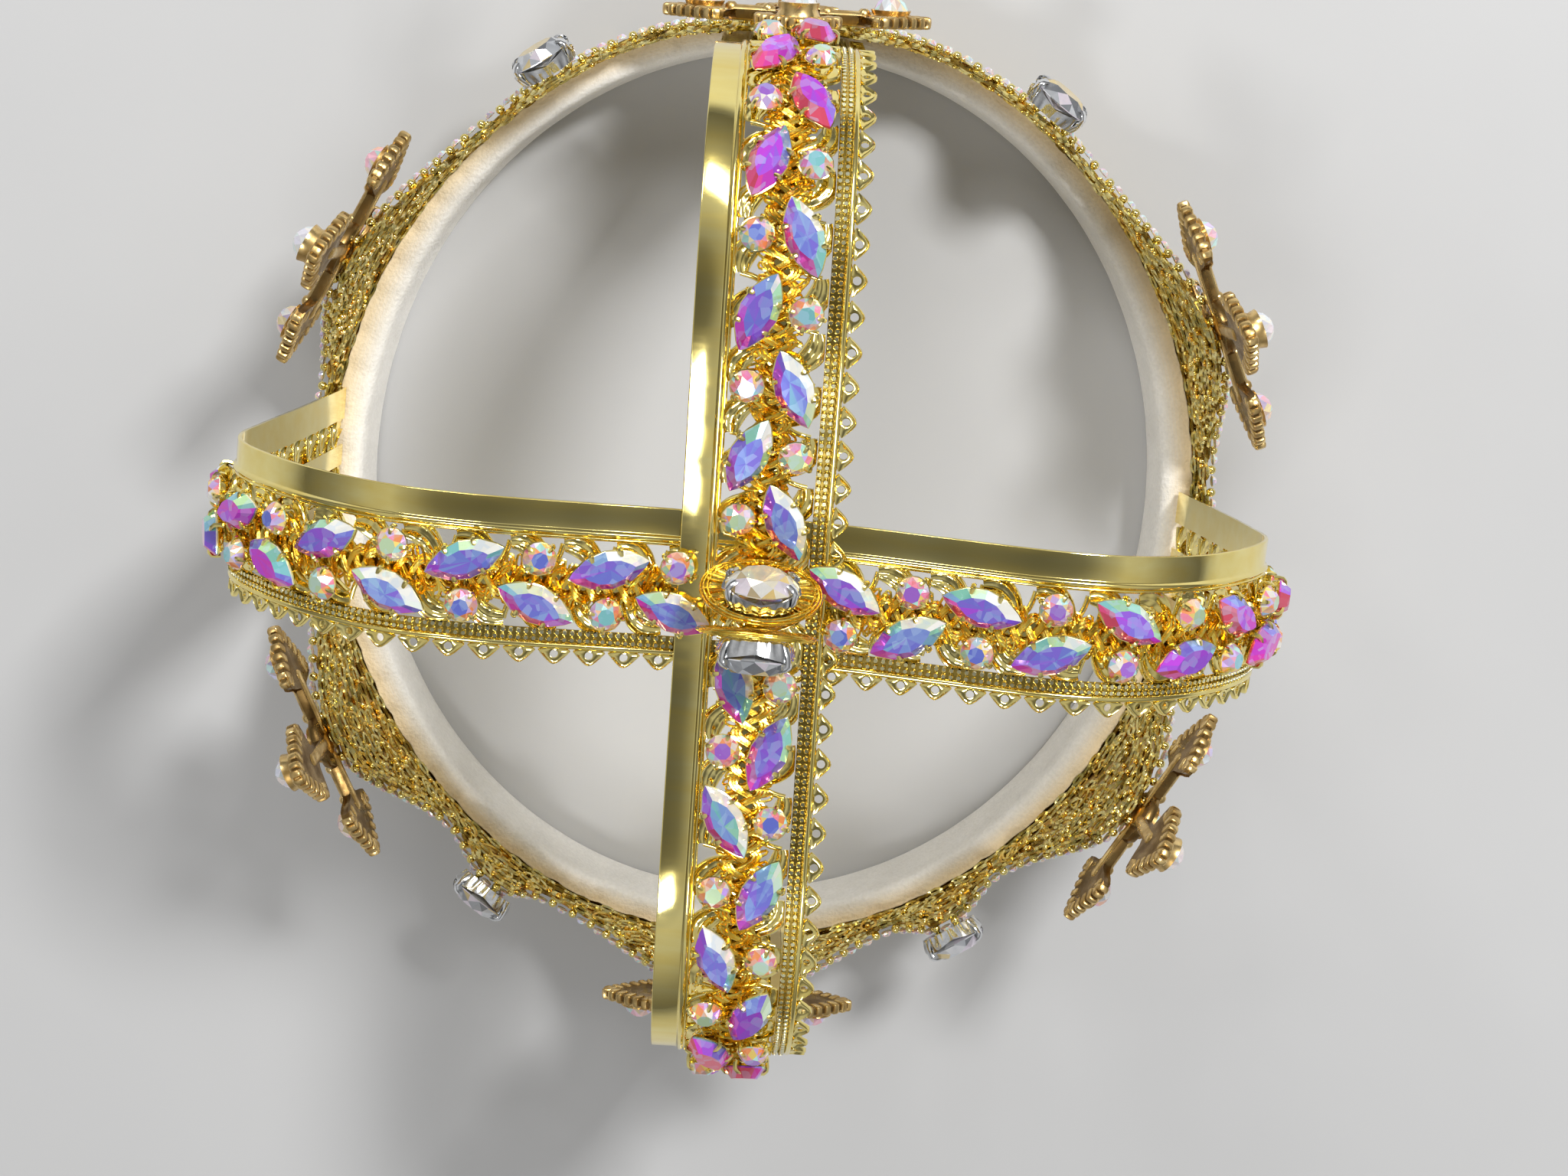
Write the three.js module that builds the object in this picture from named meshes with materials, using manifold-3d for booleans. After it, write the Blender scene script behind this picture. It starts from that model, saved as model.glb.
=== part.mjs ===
// Closed crown: an oval padded band in gold lace, two crossed gilt arches set with
// marquise and round stones, six standing crosses, four clear stones and a wire finial.
// Millimetres, +Z up, origin on the table under the middle of the band; the front faces -Y.

import * as THREE from 'three';
import { mergeVertices } from 'three/addons/utils/BufferGeometryUtils.js';
import Module from 'manifold-3d';

const wasm = await Module();
wasm.setup();

// Driving dimensions

const CLEARANCE = 0.3;

const HEAD_HALF_WIDTH = 88;
const HEAD_HALF_LENGTH = 97.2;
const OVAL_TURN = THREE.MathUtils.degToRad(-3);

// Felt section: distance out from the head oval, and height
const FELT_SECTION = [
  { out: 0.9, up: 0 },
  { out: 4.9, up: 0 },
  { out: 5.9, up: 3 },
  { out: 6.1, up: 14.2 },
  { out: 5.2, up: 16.6 },
  { out: 2.4, up: 17.2 },
  { out: 0.7, up: 14.5 },
  { out: 0, up: 3 },
];
const FELT_STEPS = 44;
const FELT_OUTER = 6.1;
const FELT_TOP = 17.2;

const LACE_WALL = 2;
// The rim is rounder than the oval foot: the wall leans out at the sides and in at front and back
const LACE_FLARE = { mean: 0.02, swing: 0.085 };
const LACE_VALLEY = 25;
const LACE_STEPS = 120;
const LACE_INNER = FELT_OUTER + 0.4;
const TALL_PEAK = { rise: 32, halfWidth: 21, azimuths: [30, 91.5, 151, 213, 271.5, 327] };
const LOW_PEAK = { rise: 14, halfWidth: 8, azimuths: [60.5, 120.5, 240.5, 299] };

const STRIP_THICKNESS = 0.8;
const FLANGE_EDGE = 15;
const SCALLOP_TIP = -15;
const SCALLOP_ROOT = -12.2;
const SCALLOP_PITCH = 6.4;

// Arch centre lines from the crossing out to the foot
const LEFT_STATIONS = [
  { out: 0, up: 130 },
  { out: 16, up: 130.2 },
  { out: 34, up: 132.8 },
  { out: 52, up: 135 },
  { out: 68, up: 133.2 },
  { out: 82, up: 125.5 },
  { out: 93, up: 114.5 },
  { out: 100.5, up: 103 },
  { out: 102.6, up: 93 },
  { out: 101.4, up: 80 },
  { out: 97.6, up: 50 },
  { out: 94.2, up: 17.8 },
];
const RIGHT_STATIONS = [
  { out: 0, up: 130 },
  { out: 16, up: 130.2 },
  { out: 34, up: 132.8 },
  { out: 52, up: 135 },
  { out: 66.5, up: 133.2 },
  { out: 79, up: 126 },
  { out: 88.8, up: 115.5 },
  { out: 95.6, up: 104 },
  { out: 98.2, up: 93 },
  { out: 98, up: 80 },
  { out: 96, up: 50 },
  { out: 93.2, up: 17.8 },
];
const FRONT_STATIONS = [
  { out: 0, up: 131.6 },
  { out: 16, up: 131.8 },
  { out: 34, up: 135 },
  { out: 52, up: 137.3 },
  { out: 68, up: 135 },
  { out: 82, up: 127.6 },
  { out: 91, up: 117.8 },
  { out: 96.4, up: 106 },
  { out: 98.5, up: 94 },
  { out: 98.2, up: 80 },
  { out: 98.2, up: 50 },
  { out: 100.2, up: 17.8 },
];
// The drift is how far the foot toward +X strays sideways on its way down the leg
const SIDE_ARCH = { turn: 0, far: LEFT_STATIONS, near: RIGHT_STATIONS, drift: -5 };
const FRONT_ARCH = {
  turn: THREE.MathUtils.degToRad(91.8),
  far: FRONT_STATIONS,
  near: FRONT_STATIONS,
  drift: 0,
};
const LEG_START = 110;

// Leaf-shaped gaps along both sides of the pierced zone of an arch
const GAP = { length: 6, width: 3.6, across: 6.5, first: 20.5, pitch: 10.4, perSide: 10, slant: 0.6, cut: 6 };

const BRAID = { width: 7.5, thickness: 1.8, step: 7, tail: 6 };
const MARQUISE = { length: 15, width: 7, height: 3.6, across: 3.6, slant: THREE.MathUtils.degToRad(22) };
const CHATON = { diameter: 6, height: 3.2, across: 4.8 };
// Lead is the side of the first marquise: 1 puts it toward the flange on the half toward +X
const SIDE_TRIM = { from: 16.4, stones: 13, lead: 1 };
const FRONT_TRIM = { from: 8.4, stones: 9, lead: -1 };
const STONE_FIRST = 15.5;
const STONE_PITCH = 12.7;
const STONE_SINK = 0.15;
const TABLE_SHARE = 0.55;

const CROSS = { height: 56, standoff: 0.7, plate: 1.8, bossRadius: 4.3, stoneOut: 18.8 };
// Half outline of one cross arm: distance from the middle, and half width there
const CROSS_ARM = [
  { along: 13.8, half: 2.8 },
  { along: 15.2, half: 8.6 },
  { along: 17.6, half: 8.8 },
  { along: 22.6, half: 5 },
  { along: 27.3, half: 1.4 },
];
const CROSS_CORNER = 4.6;
// Raised round seats of a cross; the one on the top arm is a deep cup
const CROSS_SEATS = [
  { name: 'centre', x: 0, y: 0, boss: 0.9 },
  { name: 'left', x: -CROSS.stoneOut, y: 0, boss: 0.9 },
  { name: 'right', x: CROSS.stoneOut, y: 0, boss: 0.9 },
  { name: 'top', x: 0, y: CROSS.stoneOut, boss: 2.4 },
  { name: 'bottom', x: 0, y: -CROSS.stoneOut, boss: 0.9 },
];
const CROSS_STONE = { diameter: 7, height: 2.8 };

const OVAL_STONE = { length: 14, width: 10, crown: 2.4, sides: 10 };
// Shares of the oval: base is the foot's size, seat the stone's play inside the cup
const CUP = { depth: 3.6, wall: 0.9, floor: 1, base: 0.72, seat: 0.07 };
const BASE_STONE_HEIGHT = 38;
const BASE_STONE_TILT = THREE.MathUtils.degToRad(12);

// Two wire rosettes lean against each other; ahead is how far their top edge stands in front of the crossing,
// and rise how far above its middle each of them holds its stone
const FINIAL = { radius: 11.2, thickness: 1.2, sides: 24, ahead: 0.9, rise: 5 };
const ROSETTES = [
  { name: 'back', facing: 1, lean: THREE.MathUtils.degToRad(20) },
  { name: 'front', facing: -1, lean: THREE.MathUtils.degToRad(10) },
];

// Materials

function finish(color, metalness, roughness) {
  return new THREE.MeshStandardMaterial({ color, metalness, roughness });
}

const FELT = finish('#e8dfd0', 0, 0.95);
const LACE_GOLD = finish('#c8962e', 1, 0.38);
const BRIGHT_GOLD = finish('#e3bd57', 1, 0.18);
const ANTIQUE_GOLD = finish('#a9824a', 1, 0.5);
const WIRE_GOLD = finish('#d99e27', 1, 0.3);
const IRIDESCENT = finish('#8d84d6', 0.1, 0.08);
const ROSE_STONE = finish('#b05ec4', 0.1, 0.1);
const CLEAR_STONE = finish('#e4e8ea', 0, 0.03);
const SILVER = finish('#c9cbcc', 1, 0.15);

// Closed solids

function weld(geometry) {
  const bare = geometry.index ? geometry.clone() : mergeVertices(geometry);
  bare.deleteAttribute('normal');
  bare.deleteAttribute('uv');
  return mergeVertices(bare, 1e-4);
}

function toSolid(geometry) {
  const welded = weld(geometry);
  const vertProperties = new Float32Array(welded.attributes.position.array);
  const triVerts = new Uint32Array(welded.index.array);
  return new wasm.Manifold(new wasm.Mesh({ numProp: 3, vertProperties, triVerts }));
}

function toGeometry(solid) {
  const mesh = solid.getMesh();
  const geometry = new THREE.BufferGeometry();
  geometry.setAttribute('position', new THREE.BufferAttribute(mesh.vertProperties, 3));
  geometry.setIndex(new THREE.BufferAttribute(mesh.triVerts, 1));
  geometry.computeVertexNormals();
  return geometry;
}

function union(geometries) {
  const [first, ...rest] = geometries.map(toSolid);
  return toGeometry(rest.reduce((sum, solid) => sum.add(solid), first));
}

function reshape(geometry, place) {
  const position = geometry.attributes.position;
  const point = new THREE.Vector3();
  for (let i = 0; i < position.count; i += 1) {
    point.fromBufferAttribute(position, i);
    const moved = place(point, i);
    position.setXYZ(i, moved.x, moved.y, moved.z);
  }
  return geometry;
}

// Closed ring: a torus whose rings and section corners are moved to place(around, corner)
function ring(steps, corners, place) {
  const torus = new THREE.TorusGeometry(2, 1, corners, steps);
  return weld(reshape(torus, (point, index) => {
    const corner = Math.floor(index / (steps + 1)) % corners;
    const around = (index % (steps + 1)) % steps;
    return place(around / steps, corner);
  }));
}

// Oval band

// Point of the head oval at an azimuth, moved outward along the oval's normal
function ovalFrame(azimuth) {
  const own = azimuth - OVAL_TURN;
  const t = Math.atan2(Math.sin(own) / HEAD_HALF_LENGTH, Math.cos(own) / HEAD_HALF_WIDTH);
  const turned = new THREE.Vector3(0, 0, 1);
  const point = new THREE.Vector3(HEAD_HALF_WIDTH * Math.cos(t), HEAD_HALF_LENGTH * Math.sin(t), 0);
  const normal = new THREE.Vector3(Math.cos(t) / HEAD_HALF_WIDTH, Math.sin(t) / HEAD_HALF_LENGTH, 0);
  point.applyAxisAngle(turned, OVAL_TURN);
  normal.normalize().applyAxisAngle(turned, OVAL_TURN);
  return { point, normal };
}

function ovalPoint(azimuth, out, up) {
  const { point, normal } = ovalFrame(azimuth);
  return point.addScaledVector(normal, out).setZ(up);
}

function peakRise(peak, azimuthDegrees) {
  return peak.azimuths.reduce((sum, centre) => {
    const away = Math.abs(THREE.MathUtils.euclideanModulo(azimuthDegrees - centre + 180, 360) - 180);
    const near = Math.max(0, 1 - away / peak.halfWidth);
    return sum + peak.rise * Math.sin(near * Math.PI / 2) ** 2;
  }, 0);
}

function laceRim(azimuthDegrees) {
  return LACE_VALLEY + peakRise(TALL_PEAK, azimuthDegrees) + peakRise(LOW_PEAK, azimuthDegrees);
}

function laceFlare(azimuth) {
  return LACE_FLARE.mean + LACE_FLARE.swing * Math.cos(2 * azimuth);
}

// The inner face stays clear of the felt where the wall leans in
function laceInner(azimuth, up) {
  const flare = laceFlare(azimuth);
  return LACE_INNER + flare * up + Math.max(0, -flare) * FELT_TOP;
}

// The outer side of the felt leans with the lace
function feltLining() {
  return ring(FELT_STEPS, FELT_SECTION.length, (turn, corner) => {
    const { out, up } = FELT_SECTION[corner];
    const azimuth = turn * 2 * Math.PI;
    const lean = laceInner(azimuth, up) - LACE_INNER;
    return ovalPoint(azimuth, out + lean * out / FELT_OUTER, up);
  });
}

function laceBand() {
  return ring(LACE_STEPS, 4, (turn, corner) => {
    const rim = laceRim(turn * 360);
    const up = corner < 2 ? 0 : rim;
    const wall = corner === 1 || corner === 2 ? LACE_WALL : 0;
    const azimuth = turn * 2 * Math.PI;
    return ovalPoint(azimuth, laceInner(azimuth, up) + wall, up);
  });
}

// Arches

// The far and near halves have equally many stations, so the crossing is the middle of the curve's divisions
function archLine({ far, near, drift }) {
  const farPoints = far.slice(1).reverse().map(({ out, up }) => new THREE.Vector3(-out, 0, up));
  const nearPoints = near.map(({ out, up }) => new THREE.Vector3(out, 0, up));
  const curve = new THREE.CatmullRomCurve3([...farPoints, ...nearPoints], false, 'centripetal');
  curve.arcLengthDivisions = 1200;
  const lengths = curve.getLengths();
  return { curve, drift, length: curve.getLength(), crossing: lengths[curve.arcLengthDivisions / 2] };
}

// Frame on an arch: distance from the crossing, across toward the flange, above the centre line
function archFrame({ curve, drift, length, crossing }, distance) {
  const share = THREE.MathUtils.clamp((crossing + distance) / length, 0, 1);
  const leg = THREE.MathUtils.clamp((distance - LEG_START) / (length - crossing - LEG_START), 0, 1);
  const origin = curve.getPointAt(share).setY(drift * leg);
  const along = curve.getTangentAt(share);
  const across = new THREE.Vector3(0, 1, 0);
  const above = new THREE.Vector3().crossVectors(along, across);
  return new THREE.Matrix4().makeBasis(along, across, above).setPosition(origin);
}

function archPoint(arch, distance, across, above) {
  return new THREE.Vector3(0, across, above).applyMatrix4(archFrame(arch, distance));
}

function archStrip(arch) {
  const { length, crossing } = arch;
  const scallops = Math.round(length / SCALLOP_PITCH);
  const strip = new THREE.BoxGeometry(2, 2, STRIP_THICKNESS, scallops * 2, 1, 1);
  return reshape(strip, ({ x, y, z }) => {
    const step = Math.round((x + 1) * scallops);
    const scallop = step % 2 === 0 ? SCALLOP_ROOT : SCALLOP_TIP;
    return archPoint(arch, (x + 1) * length / 2 - crossing, y > 0 ? FLANGE_EDGE : scallop, z);
  });
}

function gapCutter() {
  const cutter = new THREE.CylinderGeometry(0.5, 0.5, GAP.cut, 4);
  return cutter.rotateX(Math.PI / 2).scale(GAP.length, GAP.width, 1);
}

function piercedArch(arch) {
  let strip = toSolid(archStrip(arch));
  for (const side of [-1, 1]) {
    for (const half of [-1, 1]) {
      for (let i = 0; i < GAP.perSide; i += 1) {
        const frame = archFrame(arch, half * (GAP.first + GAP.pitch * i));
        const cutter = gapCutter().rotateZ(-half * side * GAP.slant).translate(0, side * GAP.across, 0);
        strip = strip.subtract(toSolid(cutter.applyMatrix4(frame)));
      }
    }
  }
  return toGeometry(strip);
}

// Cut stones

// Eight-sided stone with a table, its outline drawn by radius(angle)
function cutStone(radius, height, sides = 8) {
  const profile = [
    new THREE.Vector2(0, 0),
    new THREE.Vector2(1, 0),
    new THREE.Vector2(TABLE_SHARE, height),
    new THREE.Vector2(0, height),
  ];
  const stone = new THREE.LatheGeometry(profile, sides).rotateX(Math.PI / 2);
  return weld(reshape(stone, ({ x, y, z }) => {
    const reach = Math.hypot(x, y) * radius(Math.atan2(y, x));
    const angle = Math.atan2(y, x);
    return new THREE.Vector3(reach * Math.cos(angle), reach * Math.sin(angle), z);
  }));
}

// Pointed oval: where two equal circles overlap, long axis along X
function marquiseRadius(angle) {
  const half = MARQUISE.length / 2;
  const rise = MARQUISE.width / 2;
  const bow = (half ** 2 - rise ** 2) / (2 * rise);
  const sine = Math.abs(Math.sin(angle));
  return Math.sqrt((bow * sine) ** 2 + half ** 2) - bow * sine;
}

function marquise() {
  return cutStone(marquiseRadius, MARQUISE.height);
}

function chaton() {
  return cutStone(() => CHATON.diameter / 2, CHATON.height);
}

// Braid with marquises and round stones on alternate sides, on the half arch toward +X or -X
function stoneTrim(arch, half, { from, stones, lead }) {
  const under = STRIP_THICKNESS / 2 + CLEARANCE;
  const to = STONE_FIRST + STONE_PITCH * (stones - 1) + BRAID.tail;
  const steps = Math.round((to - from) / BRAID.step);
  const braid = new THREE.BoxGeometry(1, BRAID.width, BRAID.thickness, steps, 1, 1);
  reshape(braid, ({ x, y, z }) => {
    const distance = half * THREE.MathUtils.lerp(from, to, 0.5 + half * x);
    return archPoint(arch, distance, y, under + BRAID.thickness / 2 + z);
  });
  const pieces = [braid];
  const seat = under + BRAID.thickness - STONE_SINK;
  for (let i = 0; i < stones; i += 1) {
    const side = half * lead * (i % 2 === 0 ? 1 : -1);
    const frame = archFrame(arch, half * (STONE_FIRST + STONE_PITCH * i));
    const leaf = marquise().rotateZ(-half * side * MARQUISE.slant);
    pieces.push(leaf.translate(0, side * MARQUISE.across, seat).applyMatrix4(frame));
    pieces.push(chaton().translate(0, -side * CHATON.across, seat).applyMatrix4(frame));
  }
  return union(pieces);
}

// Crosses

function crossShape() {
  const middle = new THREE.Vector2();
  const outline = [];
  for (let arm = 0; arm < 4; arm += 1) {
    const rising = CROSS_ARM.map(({ along, half }) => new THREE.Vector2(along, -half));
    const falling = CROSS_ARM.map(({ along, half }) => new THREE.Vector2(along, half)).reverse();
    const corner = new THREE.Vector2(CROSS_CORNER, CROSS_CORNER);
    for (const point of [...rising, ...falling, corner]) {
      outline.push(point.rotateAround(middle, arm * Math.PI / 2));
    }
  }
  return new THREE.Shape(outline);
}

// Cast cross with its back on z = 0 and a raised round seat for each stone
function castCross() {
  const plate = new THREE.ExtrudeGeometry(crossShape(), { depth: CROSS.plate, bevelEnabled: false });
  const seats = CROSS_SEATS.map(({ x, y, boss }) => {
    const depth = CROSS.plate / 2 + boss;
    const seat = new THREE.CylinderGeometry(CROSS.bossRadius, CROSS.bossRadius, depth, 8);
    return seat.rotateX(Math.PI / 2).translate(x, y, CROSS.plate + boss - depth / 2);
  });
  return union([plate, ...seats]);
}

// Clear oval stone in a cup, both with their axis along +Z and the cup's back on z = 0

function ovalTurned(profile) {
  const points = profile.map(([reach, up]) => new THREE.Vector2(reach, up));
  const turned = new THREE.LatheGeometry(points, OVAL_STONE.sides).rotateX(Math.PI / 2);
  return weld(turned.scale(OVAL_STONE.length / 2, OVAL_STONE.width / 2, 1));
}

const CUP_INNER = 1 - 2 * CUP.wall / OVAL_STONE.width;

function ovalCup() {
  return ovalTurned([
    [0, 0],
    [CUP.base, 0],
    [1, CUP.depth],
    [CUP_INNER, CUP.depth],
    [CUP.base * CUP_INNER, CUP.floor],
    [0, CUP.floor],
  ]);
}

function ovalStone() {
  const gap = CLEARANCE;
  return ovalTurned([
    [0, CUP.floor + gap],
    [CUP.base * CUP_INNER - CUP.seat, CUP.floor + gap],
    [CUP_INNER - CUP.seat, CUP.depth + gap],
    [TABLE_SHARE, CUP.depth + OVAL_STONE.crown],
    [0, CUP.depth + OVAL_STONE.crown],
  ]);
}

// Assembly

function part(name, geometry, material) {
  const mesh = new THREE.Mesh(geometry, material);
  mesh.name = name;
  return mesh;
}

const crown = new THREE.Group();
crown.add(part('felt_lining', feltLining(), FELT));
crown.add(part('lace_band', laceBand(), LACE_GOLD));

const sideLine = archLine(SIDE_ARCH);
const sideArch = new THREE.Group();
sideArch.rotation.z = SIDE_ARCH.turn;
sideArch.add(part('arch_side', piercedArch(sideLine), BRIGHT_GOLD));
sideArch.add(part('trim_right', stoneTrim(sideLine, 1, SIDE_TRIM), IRIDESCENT));
sideArch.add(part('trim_left', stoneTrim(sideLine, -1, SIDE_TRIM), IRIDESCENT));
crown.add(sideArch);

const frontLine = archLine(FRONT_ARCH);
const frontArch = new THREE.Group();
frontArch.rotation.z = FRONT_ARCH.turn;
frontArch.add(part('arch_front', piercedArch(frontLine), BRIGHT_GOLD));
frontArch.add(part('trim_back', stoneTrim(frontLine, 1, FRONT_TRIM), IRIDESCENT));
frontArch.add(part('trim_front', stoneTrim(frontLine, -1, FRONT_TRIM), IRIDESCENT));
crown.add(frontArch);

// Group off the lace's outer face at an azimuth: +Z points outward, tilted up from the wall, and +Y up
function onLace(azimuthDegrees, up, off, tilt) {
  const azimuth = THREE.MathUtils.degToRad(azimuthDegrees);
  const { normal } = ovalFrame(azimuth);
  const rise = tilt - Math.atan(laceFlare(azimuth));
  const holder = new THREE.Group();
  const outward = normal.clone().multiplyScalar(Math.cos(rise)).setZ(Math.sin(rise));
  const sideways = new THREE.Vector3().crossVectors(new THREE.Vector3(0, 0, 1), outward).normalize();
  const upward = new THREE.Vector3().crossVectors(outward, sideways);
  holder.quaternion.setFromRotationMatrix(new THREE.Matrix4().makeBasis(sideways, upward, outward));
  holder.position.copy(ovalPoint(azimuth, laceInner(azimuth, up) + LACE_WALL + off, up));
  return holder;
}

TALL_PEAK.azimuths.forEach((azimuth, index) => {
  const name = `cross_${index + 1}`;
  const holder = onLace(azimuth, CROSS.height, CROSS.standoff, 0);
  holder.add(part(name, castCross(), ANTIQUE_GOLD));
  for (const seat of CROSS_SEATS) {
    const stone = cutStone(() => CROSS_STONE.diameter / 2, CROSS_STONE.height);
    const mesh = part(`${name}_stone_${seat.name}`, stone, ROSE_STONE);
    mesh.position.set(seat.x, seat.y, CROSS.plate + seat.boss + CLEARANCE);
    holder.add(mesh);
  }
  crown.add(holder);
});

LOW_PEAK.azimuths.forEach((azimuth, index) => {
  const holder = onLace(azimuth, BASE_STONE_HEIGHT, CLEARANCE, BASE_STONE_TILT);
  const seat = new THREE.Group();
  seat.position.z = OVAL_STONE.width / 2 * CUP.base * Math.sin(BASE_STONE_TILT);
  seat.add(part(`base_setting_${index + 1}`, ovalCup(), SILVER));
  seat.add(part(`base_stone_${index + 1}`, ovalStone(), CLEAR_STONE));
  holder.add(seat);
  crown.add(holder);
});

// Finial: two rosettes that lean together at the top, each with a stone on its outer face
const finial = new THREE.Group();
finial.position.y = -FINIAL.ahead;
finial.position.z = FRONT_STATIONS[0].up + STRIP_THICKNESS / 2 + CLEARANCE;
for (const { name, facing, lean } of ROSETTES) {
  const rosette = new THREE.Group();
  const foot = FINIAL.radius * Math.cos(lean) + FINIAL.thickness / 2 * Math.sin(lean);
  const apart = FINIAL.radius * Math.sin(lean) + (FINIAL.thickness / 2 + CLEARANCE) / Math.cos(lean);
  rosette.position.set(0, facing * apart, foot);
  rosette.rotation.x = facing * lean;
  const disc = new THREE.CylinderGeometry(FINIAL.radius, FINIAL.radius, FINIAL.thickness, FINIAL.sides);
  rosette.add(part(`finial_disc_${name}`, disc, WIRE_GOLD));
  const seat = new THREE.Group();
  seat.rotation.x = -facing * Math.PI / 2;
  seat.position.set(0, facing * (FINIAL.thickness / 2 + CLEARANCE), FINIAL.rise);
  seat.add(part(`finial_setting_${name}`, ovalCup(), SILVER));
  seat.add(part(`finial_stone_${name}`, ovalStone(), CLEAR_STONE));
  rosette.add(seat);
  finial.add(rosette);
}
crown.add(finial);

// The arches are lopsided, so the band stands a little off the middle of the whole
const middle = new THREE.Box3().setFromObject(crown, true).getCenter(new THREE.Vector3()).setZ(0);
for (const piece of crown.children) {
  piece.position.sub(middle);
}

export default crown;
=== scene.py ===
import math

import bpy
import numpy as np
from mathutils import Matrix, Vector


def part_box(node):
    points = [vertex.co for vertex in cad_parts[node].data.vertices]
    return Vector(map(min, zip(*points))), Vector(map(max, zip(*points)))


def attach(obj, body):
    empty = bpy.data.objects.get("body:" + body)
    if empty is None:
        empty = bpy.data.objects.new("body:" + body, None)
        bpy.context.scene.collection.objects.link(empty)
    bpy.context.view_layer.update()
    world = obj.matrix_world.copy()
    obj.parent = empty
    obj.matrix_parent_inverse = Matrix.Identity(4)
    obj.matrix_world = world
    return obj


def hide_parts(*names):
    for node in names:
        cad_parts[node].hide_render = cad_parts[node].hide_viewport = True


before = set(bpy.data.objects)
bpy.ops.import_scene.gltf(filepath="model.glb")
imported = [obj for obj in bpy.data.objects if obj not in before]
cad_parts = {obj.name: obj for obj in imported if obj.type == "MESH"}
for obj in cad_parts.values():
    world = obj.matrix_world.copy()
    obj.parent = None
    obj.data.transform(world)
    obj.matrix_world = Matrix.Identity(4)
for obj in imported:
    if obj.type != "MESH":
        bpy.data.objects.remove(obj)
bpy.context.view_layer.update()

# Sizes in millimetres round the middle of the band: +Z up, the front faces -Y
MM = 0.001
FELT_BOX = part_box("felt_lining")
BAND_MIDDLE = np.array([(FELT_BOX[0].x + FELT_BOX[1].x) / 2, (FELT_BOX[0].y + FELT_BOX[1].y) / 2, 0.0])

HEAD_HALF_WIDTH = 88.0
HEAD_HALF_LENGTH = 97.2
OVAL_TURN = math.radians(-3)

FELT_OUTER = 6.1
FELT_TOP = 17.2
# Felt section: distance out from the head oval, height, and how warm the light through the lace makes it
FELT_SECTION = [
    {"out": 0.9, "up": 0.0, "warm": 0.0},
    {"out": 4.9, "up": 0.0, "warm": 0.6},
    {"out": 5.9, "up": 3.0, "warm": 1.0},
    {"out": 6.5, "up": 15.6, "warm": 1.0},
    {"out": 5.6, "up": 17.0, "warm": 0.95},
    {"out": 2.6, "up": 17.1, "warm": 0.12},
    {"out": 0.7, "up": 14.5, "warm": 0.0},
    {"out": 0.0, "up": 3.0, "warm": 0.0},
]

LACE_WALL = 2.0
LACE_INNER = FELT_OUTER + 0.4
LACE_FLARE = {"mean": 0.02, "swing": 0.085}
LACE_VALLEY = 25.0
TALL_PEAK = {"rise": 32.0, "half_width": 21.0, "azimuths": [30, 91.5, 151, 213, 271.5, 327]}
LOW_PEAK = {"rise": 14.0, "half_width": 8.0, "azimuths": [60.5, 120.5, 240.5, 299]}

# Arch centre lines from the crossing to the foot: distance out and height
LEFT_STATIONS = [
    (0, 130), (16, 130.2), (34, 132.8), (52, 135), (68, 133.2), (82, 125.5),
    (93, 114.5), (100.5, 103), (102.6, 93), (101.4, 80), (97.6, 50), (94.2, 17.8),
]
RIGHT_STATIONS = [
    (0, 130), (16, 130.2), (34, 132.8), (52, 135), (66.5, 133.2), (79, 126),
    (88.8, 115.5), (95.6, 104), (98.2, 93), (98, 80), (96, 50), (93.2, 17.8),
]
FRONT_STATIONS = [
    (0, 131.6), (16, 131.8), (34, 135), (52, 137.3), (68, 135), (82, 127.6),
    (91, 117.8), (96.4, 106), (98.5, 94), (98.2, 80), (98.2, 50), (100.2, 17.8),
]
# The foot on the right strays sideways on its way down the leg
RIGHT_DRIFT = -5.0
LEG_START = 110.0
FRONT_TURN = math.radians(91.8)
STRIP_HALF = 0.4
SCALLOP_PITCH = 6.4

SEAT = 2.35
STONE_FIRST = 15.5
STONE_PITCH = 12.7
SIDE_TRIM = {"from": 16.4, "stones": 13, "lead": 1}
FRONT_TRIM = {"from": 8.4, "stones": 9, "lead": -1}
MARQUISE = {"length": 15.0, "width": 7.0, "height": 3.55, "girdle": 1.4, "across": 3.6}
MARQUISE_SLANT = math.radians(22)
CHATON = {"radius": 3.0, "height": 3.2, "girdle": 1.3, "across": 4.8}

CROSS = {"height": 56.0, "standoff": 0.7, "plate": 1.8, "stone_out": 18.8}
OVAL_STONE = {"length": 14.0, "width": 10.0}
BASE_STONE = {"height": 38.0, "standoff": 0.3, "tilt": math.radians(12)}
CUP_DEPTH = 3.6
STONE_CROWN = 2.4
FINIAL = {"radius": 11.2, "thickness": 1.2, "ahead": 0.9, "rise": 5.0, "gap": 0.3}
ROSETTES = [
    {"name": "back", "facing": 1, "lean": math.radians(20)},
    {"name": "front", "facing": -1, "lean": math.radians(10)},
]
CROSSING_TOP = 132.0

TURN = 2 * math.pi


# Shapes: a shape is an array of points and a list of face arrays


def unit(vectors):
    return vectors / np.maximum(np.linalg.norm(vectors, axis=-1, keepdims=True), 1e-12)


def walked_along(path):
    """Distance of each point of a path from its start."""
    return np.concatenate([[0], np.cumsum(np.linalg.norm(np.diff(path, axis=0), axis=1))])


def signed_volume(shape):
    points, faces = shape
    total = 0.0
    for group in faces:
        first = points[group[:, 0]]
        for step in range(1, group.shape[1] - 1):
            fan = np.cross(points[group[:, step]], points[group[:, step + 1]])
            total += np.einsum("ij,ij->", first, fan)
    return total


def outward(shape):
    """The shape with its faces turned to point out of it."""
    points, faces = shape
    centred = points - points.mean(axis=0)
    if signed_volume((centred, faces)) < 0:
        return points, [group[:, ::-1] for group in faces]
    return points, faces


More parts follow.
